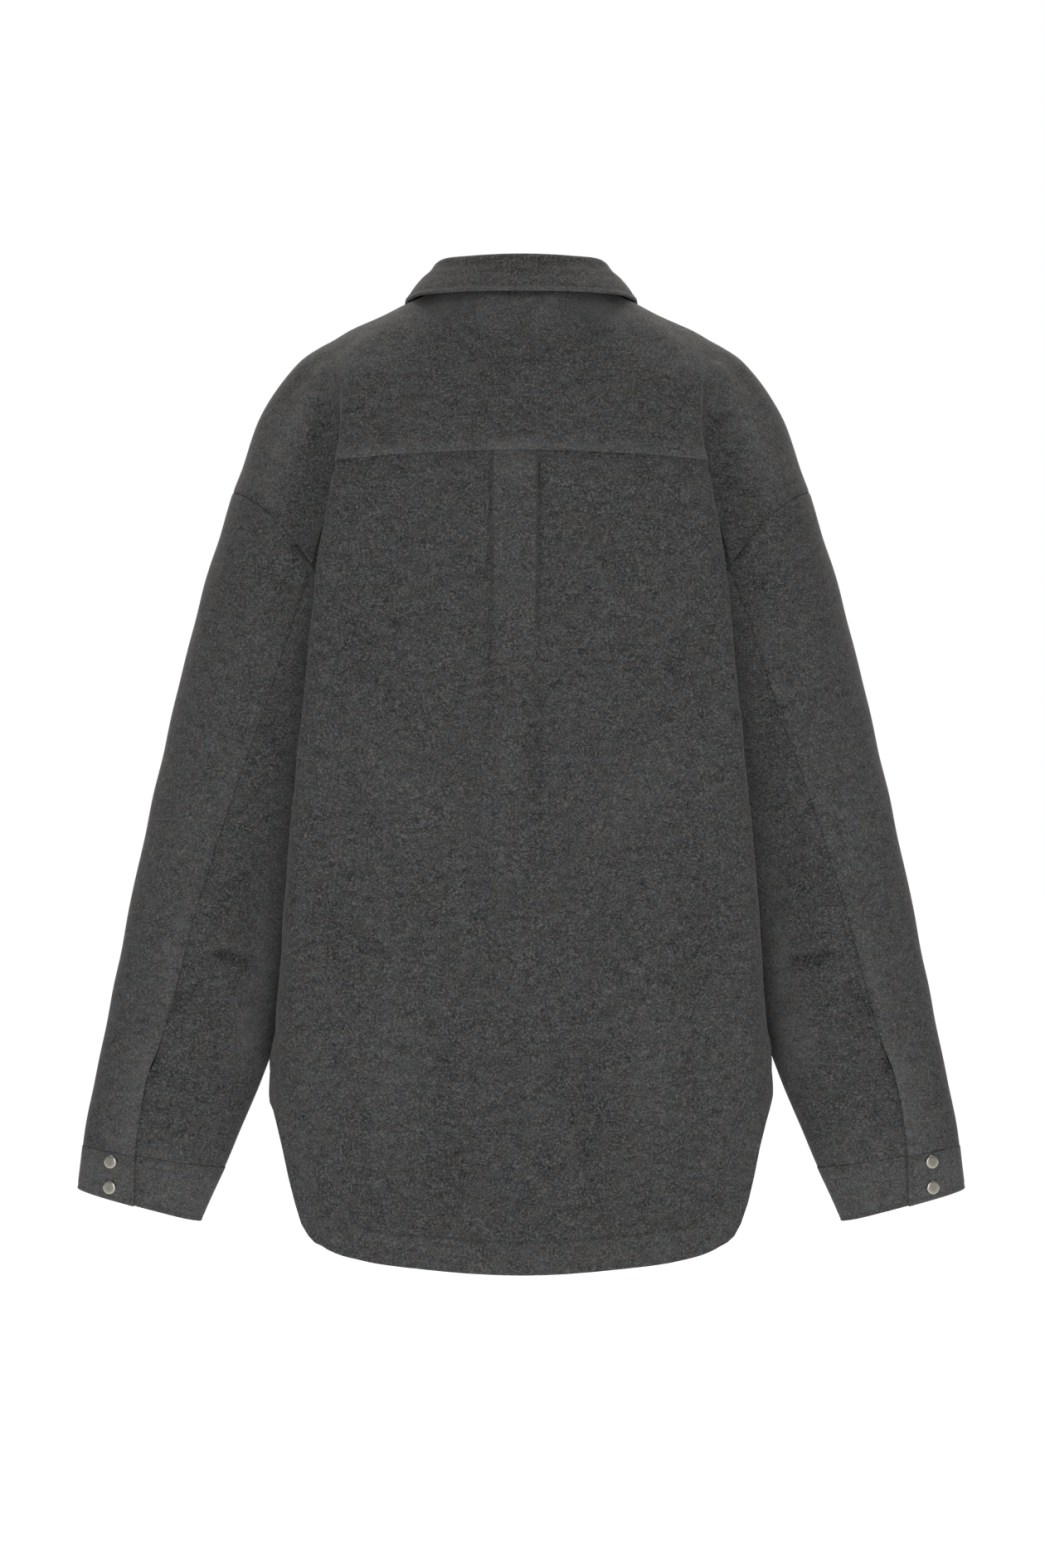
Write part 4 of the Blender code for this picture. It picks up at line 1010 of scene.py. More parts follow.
def front_surface(lift):
    """The outer face of a left front, moved out by lift where the two fronts lap."""

    def surface(share, level):
        points = front_points(share, level)
        points[..., 1] -= lift * ramp(points[..., 0], FRONT_LAP_REACH)
        return points

    return surface


def lean_to_seam(cloth, share, row, distance):
    """Turns a panel's edge at the shoulder seam half way to the panel on the other side of it."""
    size = np.maximum(np.abs(share[row]), SHOULDER_SHARE)
    behind = -normals_of(yoke_surface, size, np.full_like(size, YOKE_TOP), BODY_STEPS)
    ahead = normals_of(front_points, size, np.full_like(size, FRONT_TOP), BODY_STEPS)
    lean = signed(unit(behind + ahead), share[row])
    near = ramp(distance, (SHOULDER_LEAN, 0.0)) * ramp(np.abs(share), SHOULDER_LEAN_SHARES)
    cloth.outward = unit(cloth.outward + near[..., None] * (lean - cloth.outward))


lean_to_seam(yoke, yoke_share, -1, yoke.from_last_row)
hand_over("yoke", yoke)

front_line = paced(front_points, FRONT_EDGE_SHARE, 1.0, second=FRONT_PACED_LEVEL, marks=(FRONT_EDGE_STITCH,))
front_share, front_level = hem_grid(front_line, FRONT_TOP - FRONT_SHOULDER_GAP)
front_share = drawn_in(FRONT_NET, front_share, front_level)
for side_name, side in SIDES.items():
    lapped = front_surface(-side * FRONT_LAP_STEP)
    front = Cloth(lapped, front_share, front_level, BODY_STEPS, 1.0, "first_row last_column")
    lean_to_seam(front, front_share, 0, front.from_first_row)
    front.crease(creases(front.points, FRONT_CREASES) * ramp(-front.points[..., 1], BODY_CREASE_DEPTH))
    front.seam(front.from_last_column)
    front.relief += groove(front.from_first_column, FRONT_EDGE_STITCH)
    turn_hem(front)
    hem_line = line_on(front, front.from_last_row, HEM_TURN)
    lap_line = line_on(front, front.from_first_column, FRONT_EDGE_STITCH, down=False)
    stitched = sew(f"front_{side_name}_stitches", [hem_line, lap_line], side)
    hand_over(f"front_{side_name}", front, side)

# Sleeves
# Each sleeve is an upper and an under piece of flannel, seamed down the back and the front of the arm and
# set into the dropped armhole. Below the back seam the upper piece laps over the under one as a vent.
SLEEVE = columns(
    "outer_x outer_z inner_x inner_z half_depth",
    (0.2256, -0.1460, 0.1250, -0.2700, 0.0750),
    (0.2455, -0.2090, 0.1335, -0.3110, 0.0715),
    (0.2665, -0.2890, 0.1410, -0.3660, 0.0660),
    (0.2855, -0.3710, 0.1535, -0.4280, 0.0600),
    (0.3035, -0.4530, 0.1700, -0.4940, 0.0540),
    (0.3215, -0.5440, 0.1922, -0.5750, 0.0470),
    (0.3435, -0.6570, 0.2325, -0.6735, 0.0370),
    (0.3474, -0.6910, 0.2512, -0.7165, 0.0320),
)
SLEEVE_CENTRES = (points_of(SLEEVE, "outer", "xz") + points_of(SLEEVE, "inner", "xz")) / 2
SLEEVE_REACHES = (points_of(SLEEVE, "outer", "xz") - points_of(SLEEVE, "inner", "xz")) / 2
SLEEVE_ALONG = lengths_along(SLEEVE_CENTRES, 0)
SLEEVE_RISE_ALONG = (SLEEVE_ALONG[2], 0.0)
CUFF_TOP, WRIST = SLEEVE_ALONG[-2:]
SLEEVE_CENTRE_Y = -0.002
SLEEVE_STEPS = (0.5, 0.0005)
SLEEVE_PACED_ALONG = 0.200
SLEEVE_PACED_ANGLE = 60.0
SLEEVE_CREASE_DEPTH = (0.0, 0.02)

# The back seam down the sleeve, how firmly it is drawn in at its top and further down, and its ridge with
# painted light on it
BACK_SEAM = columns(
    "along angle",
    (0.000, 108.0),
    (0.053, 101.0),
    (0.122, 91.0),
    (0.196, 83.3),
    (0.272, 77.8),
    (0.345, 75.2),
    (0.385, 73.0),
    (0.405, 70.6),
    (0.440, 72.8),
    (0.471, 77.0),
    (0.511, 87.0),
)
BACK_SEAM_CLOSE = 1.5
BACK_SEAM_FIRM = (0.3, 0.75)
BACK_SEAM_FIRM_ALONG = (0.10, 0.22)
FRONT_SEAM_ANGLE = -118.0
SLEEVE_SEAM_ANGLE = 0.12
SEAM_RIDGE = 0.0012
SEAM_RIDGE_AT = 0.006
SEAM_RIDGE_WIDTH = 0.005
SEAM_RIDGE_PAINTED_LIGHT = 0.14
SEAM_RIDGE_TOP_SHARE = 0.3
SEAM_RIDGE_ALONG = (0.200, 0.260)

# The vent below the back seam: where it opens and where its lap is full, how far the under sleeve drops
# there, its row of stitches, how much paler the upper sleeve is beside it, and the painted shade beside its
# edge
VENT_START = 0.400
VENT_OPENS = (0.370, VENT_START)
VENT_LAPS = (VENT_START, 0.430)
VENT_LAP_ANGLE = 15.0
VENT_DROP = 0.0024
VENT_DROP_ANGLE = 34.0
VENT_STITCH = 0.005
VENT_PALER = 0.20
VENT_PALER_REACH = (0.040, 0.010)
VENT_SHADE = 0.22
VENT_SHADE_REACH = (0.014, 0.0)

# Sleeves: darker behind the cap and, on the under piece, paler above the cuff. Painted light on the upper
# piece, the top of the under piece and, between two angles beside the body, against the body's shade
SLEEVE_PAINTED_LIGHT = 0.12
SLEEVE_LIGHT_UNDER_ALONG = (0.10, 0.0)
SLEEVE_CAP_DARKER = -0.09
SLEEVE_CAP_ALONG = (0.16, 0.04)
SLEEVE_WRIST_PALER = 0.14
SLEEVE_WRIST_ALONG = (0.440, 0.470)
SLEEVE_INNER_PAINTED_LIGHT = 0.54
SLEEVE_INNER_ANGLE = 106.0
SLEEVE_INNER_TURN = 14.0
SLEEVE_INNER_TURN_ALONG = (0.26, 0.0)
SLEEVE_INNER_FADE = (0.0, 30.0)
SLEEVE_INNER_ALONG = (0.410, 0.355)
SLEEVE_HIDDEN_ANGLES = (178.0, 148.0)
SLEEVE_BACK_CREASES = columns(
    CREASE,
    (0.1600, -0.2010, 0.1780, -0.1880, 0.002, 0.0055, -0.0051),
    (0.1640, -0.2300, 0.2050, -0.2080, 0.004, 0.0100, -0.0016),
    (0.1700, -0.2700, 0.2250, -0.2600, 0.006, 0.0130, 0.0015),
    (0.1800, -0.3500, 0.2300, -0.3200, 0.006, 0.0140, -0.0015),
    (0.2350, -0.3700, 0.2700, -0.4300, 0.004, 0.0140, 0.0014),
    (0.1950, -0.4300, 0.2350, -0.4700, 0.004, 0.0120, -0.0015),
    (0.2500, -0.5055, 0.2040, -0.5145, -0.003, 0.0042, -0.0050),
    (0.2520, -0.4965, 0.2100, -0.5035, -0.003, 0.0060, 0.0023),
    (0.2150, -0.5085, 0.1980, -0.5135, 0.001, 0.0055, -0.0024),
    (0.2120, -0.5380, 0.1950, -0.5450, 0.001, 0.0055, -0.0021),
    (0.2500, -0.5250, 0.2740, -0.5560, 0.002, 0.0050, -0.0038),
    (0.2650, -0.4700, 0.2950, -0.5600, -0.003, 0.0100, 0.0014),
    (0.2800, -0.5900, 0.2450, -0.6100, 0.003, 0.0080, -0.0012),
    (0.2650, -0.6250, 0.2400, -0.6450, 0.002, 0.0070, 0.0010),
)
SLEEVE_FRONT_CREASES = columns(
    CREASE,
    (0.1700, -0.2300, 0.2200, -0.2100, 0.004, 0.0100, -0.0022),
    (0.1750, -0.3000, 0.2350, -0.2850, 0.006, 0.0130, 0.0018),
    (0.1900, -0.3900, 0.2500, -0.3700, 0.006, 0.0120, -0.0020),
    (0.2000, -0.4700, 0.2700, -0.4550, -0.005, 0.0090, -0.0025),
    (0.2050, -0.4900, 0.2750, -0.4800, -0.005, 0.0090, 0.0020),
    (0.2200, -0.5200, 0.2800, -0.5150, 0.004, 0.0080, -0.0020),
    (0.2450, -0.5900, 0.2950, -0.6050, 0.004, 0.0090, -0.0013),
)


def sleeve_surface(angle, along):
    """The outer face of the left sleeve: 0 degrees on the outer side, 90 behind, 180 beside the body."""
    turn = np.radians(angle).ravel()
    far = along.ravel()
    centre = read_curve(SLEEVE_ALONG, SLEEVE_CENTRES, far)
    reach = read_curve(SLEEVE_ALONG, SLEEVE_REACHES, far)
    depth = read_curve(SLEEVE_ALONG, SLEEVE["half_depth"], far)
    rise = ARMHOLE_RISE * ramp(far, SLEEVE_RISE_ALONG)
    x = centre[:, 0] + reach[:, 0] * np.cos(turn)
    y = SLEEVE_CENTRE_Y + depth * np.sin(turn)
    z = centre[:, 1] + reach[:, 1] * np.cos(turn) + rise * np.sin(turn) ** 2
    return np.column_stack((x, y, z)).reshape(angle.shape + (3,))


def back_seam_angle(along):
    """Angle of the sleeve's back seam and, below it, of the vent's edge and the cuff's outer end."""
    return read_curve(BACK_SEAM["along"], BACK_SEAM["angle"], along)


def vent_drop(angle, along):
    """How far the under sleeve lies below the upper one, beside the vent and under its lap."""
    beside = ramp(angle - back_seam_angle(along), (VENT_DROP_ANGLE, 0.0))
    return VENT_DROP * beside * ramp(along, VENT_OPENS)


sleeve_ends = (ARMHOLE_GAP / 2, CUFF_TOP - SEAM_GAP / 2)
sleeve_along = paced(sleeve_surface, *sleeve_ends, first=SLEEVE_PACED_ANGLE)
back_seam_line = back_seam_angle(sleeve_along)
front_seam_line = np.full_like(back_seam_line, FRONT_SEAM_ANGLE)
sleeve_spans = {
    "upper": (front_seam_line, back_seam_line),
    "under": (back_seam_line - VENT_LAP_ANGLE * ramp(sleeve_along, VENT_LAPS), front_seam_line + 360.0),
}
for piece, (first_angle, last_angle) in sleeve_spans.items():
    first_angle = first_angle + SLEEVE_SEAM_ANGLE / 2
    last_angle = last_angle - SLEEVE_SEAM_ANGLE / 2
    around = paced(sleeve_surface, first_angle.mean(), last_angle.mean(), second=SLEEVE_PACED_ALONG)
    around = (around - around[0]) / (around[-1] - around[0])
    sleeve_angle = first_angle[:, None] + (last_angle - first_angle)[:, None] * around
    far = np.repeat(sleeve_along[:, None], len(around), axis=1)
    sleeve = Cloth(sleeve_surface, sleeve_angle, far, SLEEVE_STEPS, -1.0, "first_row last_row")
    depth = sleeve.points[..., 1] - SLEEVE_CENTRE_Y
    behind = ramp(depth, SLEEVE_CREASE_DEPTH)
    opened = ramp(far, VENT_OPENS)
    sleeve.crease(creases(sleeve.points, SLEEVE_BACK_CREASES) * behind)
    sleeve.crease(creases(sleeve.points, SLEEVE_FRONT_CREASES) * ramp(-depth, SLEEVE_CREASE_DEPTH))
    sleeve.nap += SLEEVE_CAP_DARKER * ramp(far, SLEEVE_CAP_ALONG) * behind
    sleeve.seam(sleeve.from_first_row)
    if piece == "upper":
        from_back_seam, from_front_seam = sleeve.from_last_column, sleeve.from_first_column
        sleeve.sewn.update(first_column=1.0, last_column=BACK_SEAM_CLOSE * (1.0 - opened))
        ridge = mound(from_back_seam, SEAM_RIDGE_AT, SEAM_RIDGE_WIDTH)
        ridge *= SEAM_RIDGE_TOP_SHARE + (1.0 - SEAM_RIDGE_TOP_SHARE) * ramp(far, SEAM_RIDGE_ALONG)
        sleeve.relief += SEAM_RIDGE * ridge + groove(from_back_seam, VENT_STITCH) * opened
        # Painted light on the upper piece, and more on the ridge beside its back seam
        sleeve.nap += SLEEVE_PAINTED_LIGHT + SEAM_RIDGE_PAINTED_LIGHT * ridge
        sleeve.nap += VENT_PALER * opened * ramp(from_back_seam, VENT_PALER_REACH)
    else:
        from_back_seam, from_front_seam = sleeve.from_first_column, sleeve.from_last_column
        sleeve.sewn.update(first_column=BACK_SEAM_CLOSE * (1.0 - opened), last_column=1.0)
        sleeve.relief -= vent_drop(sleeve_angle, far)
        inner_angle = SLEEVE_INNER_ANGLE - SLEEVE_INNER_TURN * ramp(far, SLEEVE_INNER_TURN_ALONG)
        beside_body = ramp(sleeve_angle - inner_angle, SLEEVE_INNER_FADE)
        beside_body *= ramp(sleeve_angle, SLEEVE_HIDDEN_ANGLES) * ramp(far, SLEEVE_INNER_ALONG)
        # Painted light on the top of the under piece and beside the body, against the body's shade
        sleeve.nap += SLEEVE_PAINTED_LIGHT * ramp(far, SLEEVE_LIGHT_UNDER_ALONG)
        sleeve.nap += SLEEVE_INNER_PAINTED_LIGHT * beside_body
        sleeve.nap += SLEEVE_WRIST_PALER * ramp(far, SLEEVE_WRIST_ALONG)
        # Painted shade on the under sleeve beside the vent's edge
        sleeve.nap -= VENT_SHADE * opened * ramp(from_back_seam, VENT_SHADE_REACH)
    firm = np.interp(ramp(far, BACK_SEAM_FIRM_ALONG), (0.0, 1.0), BACK_SEAM_FIRM)
    sleeve.seam(from_back_seam, (1.0 - opened) * firm)
    sleeve.seam(from_front_seam)
    for side_name, side in SIDES.items():
        stitched = []
        if piece == "upper":
            vent_line = line_on(sleeve, from_back_seam, VENT_STITCH, down=False)
            below = sleeve_along > VENT_START
            stitched = [sew(f"vent_{side_name}_stitches", [[part[below] for part in vent_line]], side)]
        hand_over(f"sleeve_{piece}_{side_name}", sleeve, side)

# Cuffs
# Each cuff is a doubled band of flannel round the wrist, set on the sleeve's lower edge and stitched close
# to its own edges. Its outer end laps over the other at the vent and is closed by two snaps.
DOUBLE_CLOTH = 0.0030
CUFF_PROUD = 0.0005
CUFF_LAP_ANGLE = 24.0
CUFF_LAP_DROP = 0.0038
CUFF_LAP_TRAVEL = (300.0, 360.0)
CUFF_SPACING = 0.0026
CUFF_STITCH = 0.0036
CUFF_PACED_ALONG = 0.490
# The cuffs are paler, with painted light on their outer side, where they round away from the light
CUFF_PALER = 0.26
CUFF_OUTER_PAINTED_LIGHT = 0.20
CUFF_OUTER = (0.285, 0.330)
CUFF_TOP_SHARE = 0.6
CUFF_TOP_FADE = (0.0, 0.014)


def cuff_ring(travel, along):
    """The sleeve's face by the way travelled round the cuff, from its outer end to the front of the arm."""
    return sleeve_surface(-travel, along)


def cuff_drop(travel):
    """Depth of the cuff band below its proud outer end, falling away where it passes under that end."""
    return CUFF_LAP_DROP * ramp(travel, CUFF_LAP_TRAVEL) - CUFF_PROUD


cuff_ends = (CUFF_TOP + SEAM_GAP / 2, WRIST)
cuff_turn = (0.0, 360.0 + CUFF_LAP_ANGLE)
cuff_along = paced(sleeve_surface, *cuff_ends, first=SLEEVE_PACED_ANGLE, spacing=CUFF_SPACING)
cuff_travel = paced(
    cuff_ring, *cuff_turn, second=CUFF_PACED_ALONG, spacing=CUFF_SPACING, marks=(CUFF_STITCH,)
)
cuff_travel, cuff_far = np.meshgrid(cuff_travel, cuff_along)
cuff_angle = back_seam_angle(cuff_far.ravel()).reshape(cuff_far.shape) - cuff_travel
cuff = Cloth(sleeve_surface, cuff_angle, cuff_far, SLEEVE_STEPS, -1.0, "first_row")
cuff.thickness[:] = DOUBLE_CLOTH
cuff.relief -= cuff_drop(cuff_travel)
cuff.relief += groove(cuff.from_last_row, CUFF_STITCH) + groove(cuff.from_first_column, CUFF_STITCH)
# Paler cuffs, with painted light on their outer side
cuff_pale = CUFF_PALER + CUFF_OUTER_PAINTED_LIGHT * ramp(cuff.points[..., 0], CUFF_OUTER)
cuff.nap += cuff_pale * (CUFF_TOP_SHARE + (1.0 - CUFF_TOP_SHARE) * ramp(cuff.from_first_row, CUFF_TOP_FADE))
cuff_lines = [
    line_on(cuff, cuff.from_last_row, CUFF_STITCH),
    line_on(cuff, cuff.from_first_column, CUFF_STITCH, down=False),
]
for side_name, side in SIDES.items():
    stitched = sew(f"cuff_{side_name}_stitches", cuff_lines, side)
    hand_over(f"cuff_{side_name}", cuff, side)

# Collar
# The stand is a doubled band of flannel sewn round the neckline, its right end lapped over the left. The
# leaf is sewn to its top, rolls over and falls to a free edge that is stitched 4 mm in.
NECKLINE_BACK = columns("angle share", (0.0, 0.0), (41.0, 0.217), (80.0, 0.30), (113.0, 0.38))
NECKLINE_FRONT = columns(
    "angle share", (113.0, 0.38), (129.0, 0.30), (150.0, 0.217), (180.0, 0.0), (210.0, -0.217)
)
COLLAR = columns(
    "angle top_x top_y top_z edge_x edge_y edge_z",
    (0.0, 0.0000, 0.0545, 0.0308, 0.0000, 0.0830, 0.0060),
    (41.0, 0.0360, 0.0420, 0.0304, 0.0560, 0.0690, 0.0060),
    (80.0, 0.0595, 0.0100, 0.0299, 0.0855, 0.0215, 0.0052),
    (113.0, 0.0585, -0.0270, 0.0240, 0.0925, -0.0420, -0.0022),
    (129.0, 0.0510, -0.0430, 0.0110, 0.0930, -0.0785, -0.0275),
    (150.0, 0.0350, -0.0600, -0.0140, 0.0790, -0.1110, -0.0775),
    (180.0, 0.0000, -0.0700, -0.0300, 0.0360, -0.1280, -0.1360),
    (210.0, -0.0350, -0.0600, -0.0140, 0.0000, -0.1300, -0.1700),
)
COLLAR_STEPS = (0.5, 0.002)
COLLAR_SPACING = 0.0028
STAND_LIFT = 0.0002
STAND_END = 192.0
STAND_LAP_STEP = 0.0018
STAND_LAP_TURN = (140.0, 180.0)

# The leaf: how far it rises from the stand, its roll over the stand's top, and how far down each row lies
LEAF_END_ANGLE = 164.0
LEAF_ROOT = (0.0003, 0.0015)
LEAF_ROLL = columns(
    "outward upward",
    (-0.0026, 0.0026),
    (-0.0008, 0.0047),
    (0.0024, 0.0056),
    (0.0060, 0.0040),
    (0.0092, -0.0004),
)
LEAF_FALL = np.array((-0.09, -0.06, 0.0, 0.06, 0.13, 0.21, 0.29, 0.53, 0.77, 1.0))
LEAF_ROLL_SHARE = LEAF_FALL[len(LEAF_ROOT) + len(LEAF_ROLL["outward"]) - 1]
LEAF_BELLY = 0.0012
LEAF_CLOTH = 0.0026
LEAF_STITCH = 0.0042
LEAF_EDGE_FADE = (LEAF_STITCH + 0.001, LEAF_STITCH)
LEAF_EDGE_PUFF = 0.0005
# Painted highlight on the leaf's rounded edge; painted shade on its roll and painted light towards its edge
LEAF_EDGE_PAINTED_HIGHLIGHT = 0.22
LEAF_PAINTED_LIGHT_AND_SHADE = columns(
    "fall nap", (0.0, -0.06), (0.20, -0.06), (0.36, -0.30), (0.50, -0.28), (0.65, 0.0), (1.0, 0.05)
)
LEAF_SWELL_SHARE = 0.3
LEAF_SWELL_FALL = (LEAF_ROLL_SHARE, LEAF_ROLL_SHARE + 0.2)


def neckline(angle):
    """Points of the neckline that the yoke and the fronts leave for the stand, on either side."""
    size = np.abs(angle)
    back_part = read_curve(NECKLINE_BACK["angle"], NECKLINE_BACK["share"], size)
    front_part = read_curve(NECKLINE_FRONT["angle"], NECKLINE_FRONT["share"], size)
    behind = yoke_surface(back_part, np.full_like(size, YOKE_TOP))
    ahead = front_points(front_part, np.full_like(size, FRONT_TOP))
    return signed(np.where((size > NECKLINE_FRONT["angle"][0])[:, None], ahead, behind), angle)


def collar_point(part, angle):
    """A point of one of the collar's rings: the top of its stand or its free edge, on either side."""
    ring = past_centre(COLLAR["angle"], points_of(COLLAR, part), on_side(RIGHT))
    return signed(read_curve(*ring, np.abs(angle)), angle)


def stand_surface(angle, rise):
    """The outer face of the stand, whose right end laps over the left one at the front."""
    flat = angle.ravel()
    foot = neckline(flat)
    upward = collar_point("top", flat) - foot
    points = foot + unit(upward) * STAND_LIFT + upward * rise.ravel()[:, None]
    points[:, 1] += STAND_LAP_STEP * ramp(np.abs(flat), STAND_LAP_TURN) * np.sign(flat)
    return points.reshape(angle.shape + (3,))


def leaf_surface(angle, fall):
    """The outer face of the leaf: it rises from the stand, rolls over and falls to its free edge."""
    flat = angle.ravel()
    top = collar_point("top", flat)
    edge = collar_point("edge", flat)
    out = unit((edge - top) * np.array((1.0, 1.0, 0.0)))
    up = np.array((0.0, 0.0, 1.0))
    lean = unit(top - neckline(flat))
    across = unit(out - lean * (out * lean).sum(axis=1, keepdims=True))
    root = stand_surface(flat, np.ones_like(flat)) - across * DOUBLE_CLOTH
    rows = [root + lean * rise for rise in LEAF_ROOT]
    rows += [top + out * a + up * b for a, b in zip(LEAF_ROLL["outward"], LEAF_ROLL["upward"])]
    start = rows[-1]
    for share in LEAF_FALL[len(rows):]:
        way = (share - LEAF_ROLL_SHARE) / (1.0 - LEAF_ROLL_SHARE)
        rows.append(start + (edge - start) * way + (out + up) * LEAF_BELLY * math.sin(math.pi * way))
    return read_curve(LEAF_FALL, np.array(rows), fall.ravel()).reshape(angle.shape + (3,))


stand_angle = paced(stand_surface, -STAND_END, STAND_END, second=0.0, spacing=COLLAR_SPACING)
stand_rise = paced(stand_surface, 0.0, 1.0, first=0.0, spacing=COLLAR_SPACING)
stand = Cloth(stand_surface, *np.meshgrid(stand_angle, stand_rise), COLLAR_STEPS, -1.0, "first_row last_row")
stand.thickness[:] = DOUBLE_CLOTH
stand.relief *= 0.0
hand_over("collar_stand", stand)

leaf_angle = paced(leaf_surface, -LEAF_END_ANGLE, LEAF_END_ANGLE, second=1.0, spacing=COLLAR_SPACING)
leaf_fall = paced(leaf_surface, LEAF_FALL[0], 1.0, first=0.0, spacing=COLLAR_SPACING / 2)
leaf_angle, leaf_fall = np.meshgrid(leaf_angle, leaf_fall)
leaf = Cloth(leaf_surface, leaf_angle, leaf_fall, COLLAR_STEPS, 1.0, "first_row")
leaf.thickness[:] = LEAF_CLOTH
leaf.relief *= LEAF_SWELL_SHARE * ramp(leaf_fall, LEAF_SWELL_FALL)
leaf_rim = np.minimum(leaf.from_last_row, leaf.ends())
leaf_edge = ramp(leaf_rim, LEAF_EDGE_FADE)
leaf.relief += LEAF_EDGE_PUFF * leaf_edge + groove(leaf_rim, LEAF_STITCH)
# Painted shade on the roll, painted light towards the edge and a painted highlight on the edge
leaf.nap += np.interp(leaf_fall, LEAF_PAINTED_LIGHT_AND_SHADE["fall"], LEAF_PAINTED_LIGHT_AND_SHADE["nap"]) + LEAF_EDGE_PAINTED_HIGHLIGHT * leaf_edge
leaf_stitches = sew("collar_stitches", [line_on(leaf, leaf.from_last_row, LEAF_STITCH)])
hand_over("collar_fall", leaf)

# Snaps
# Bare, nearly flat caps of satin nickel with a rolled rim, pressed through the cuffs, the lap of the fronts
# and the stand. Each closes on a stud under the lap, and is left shut.
SNAP_RADIUS = 0.0055
SNAP_SIDES = 56
SNAP_CROWN = 0.00205
SNAP_PROFILE = columns(
    "reach height",
    (0.400, 0.00204),
    (0.720, 0.00199),
    (0.790, 0.00194),
    (0.840, 0.00184),
    (0.890, 0.00168),
    (0.935, 0.00144),
    (0.970, 0.00112),
    (1.000, 0.00065),
    (0.985, 0.00012),
    (0.960, 0.00000),
)
# Painted highlight on the caps' rims, rising from the first share of the radius to the second
SNAP_HIGHLIGHT_REACH = (0.60, 0.90)
CUFF_SNAPS = columns("along angle", (0.4790, 57.5), (0.5005, 61.5))
FRONT_SNAP_HEIGHTS = (-0.100, -0.195, -0.290, -0.385, -0.480, -0.575)
STAND_SNAP = (-180.0, 0.5)
NICKEL = (0.240, 0.230, 0.195, 1.0)
NICKEL_DULL = (0.190, 0.180, 0.155, 1.0)
# Colour of the painted highlight on the rims
NICKEL_PAINTED_HIGHLIGHT = (0.430, 0.412, 0.365, 1.0)
RUB_SIZE, BRUSHING_SIZE = 0.0022, 0.0003
SATIN, SATIN_RUBBED, SATIN_BRUSHED = 0.13, 0.08, 0.06


def satin_nickel(tree):
    """Warm grey plated metal, brushed to a satin, with fine rubbed patches and a painted highlight round its
    rim.
    """
    place = tree.place()
    rubbed = place.noise(RUB_SIZE, 3.0, 0.6)
    brushed = place.noise(BRUSHING_SIZE, 1.0, 0.5)
    rim = tree.node("ShaderNodeAttribute", {"attribute_name": "rim"}, {}, "Fac")
    colour = rim.blend(rubbed.blend(NICKEL_DULL, NICKEL), NICKEL_PAINTED_HIGHLIGHT)
    return {"Base Color": colour, "Roughness": rubbed * SATIN_RUBBED + brushed * SATIN_BRUSHED + SATIN}


SATIN_NICKEL = material("satin_nickel", satin_nickel, Metallic=1.0)


def snap_cap(node, point, axis):
    """A cap turned about its axis, seated on the cloth where its solid is."""
    turn = np.linspace(0.0, 2.0 * math.pi, SNAP_SIDES, endpoint=False)
    side = unit(np.cross(axis, (0.0, 0.0, 1.0)))
    up = np.cross(side, axis)
    ring = np.cos(turn)[:, None] * side + np.sin(turn)[:, None] * up
    seat = point + axis * SEAM_GAP
    profile = zip(*SNAP_PROFILE.values())
    rings = [seat + ring * SNAP_RADIUS * reach + axis * height for reach, height in profile]
    points = np.vstack(rings + [[seat + axis * SNAP_CROWN], [seat]])
    top, bottom = len(points) - 2, len(points) - 1
    last = (len(rings) - 1) * SNAP_SIDES
    faces = []
    for i in range(SNAP_SIDES):
        after = (i + 1) % SNAP_SIDES
        faces.append((top, after, i))
        for near in range(0, last, SNAP_SIDES):
            far = near + SNAP_SIDES
            faces.append((near + i, near + after, far + after, far + i))
        faces.append((bottom, last + i, last + after))
    crown, second, third = points[list(faces[0])]
    if np.cross(second - crown, third - crown) @ axis < 0:
        faces = [face[::-1] for face in faces]
    mesh = bpy.data.meshes.new(node + "_cap")
    mesh.from_pydata(points.tolist(), [], faces)
    # Painted highlight round the rim of the cap
    rim = mesh.attributes.new("rim", "FLOAT", "POINT")
    painted_highlight = ramp(SNAP_PROFILE["reach"], SNAP_HIGHLIGHT_REACH)
    rim.data.foreach_set("value", np.append(np.repeat(painted_highlight, SNAP_SIDES), (0.0, 0.0)))
    mesh.materials.append(SATIN_NICKEL)
    made = add_object(node + "_cap", mesh)
    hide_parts(node)
    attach(made, "root")


def proud_cuff(angle, along):
    """The outer face of the cuff's proud outer end."""
    return sleeve_surface(angle, along) - normals_of(sleeve_surface, angle, along, SLEEVE_STEPS) * CUFF_PROUD


def seat_on(surface, first, second, steps, outside):
    """A point of a surface and the way out of it there."""
    place = (np.array([[first]]), np.array([[second]]))
    return surface(*place)[0, 0], normals_of(surface, *place, steps)[0, 0] * outside


for number, (along, angle) in enumerate(zip(*CUFF_SNAPS.values()), 1):
    point, outward = seat_on(proud_cuff, angle, along, SLEEVE_STEPS, -1.0)
    for side_name, side in SIDES.items():
        snap_cap(f"cuff_snap_{side_name}_{number}", point * on_side(side), outward * on_side(side))
for number, height in enumerate(FRONT_SNAP_HEIGHTS, 2):
    snap_cap(f"front_snap_{number}", *seat_on(front_surface(FRONT_LAP_STEP), 0.0, height, BODY_STEPS, 1.0))
snap_cap("front_snap_1", *seat_on(stand_surface, *STAND_SNAP, COLLAR_STEPS, -1.0))

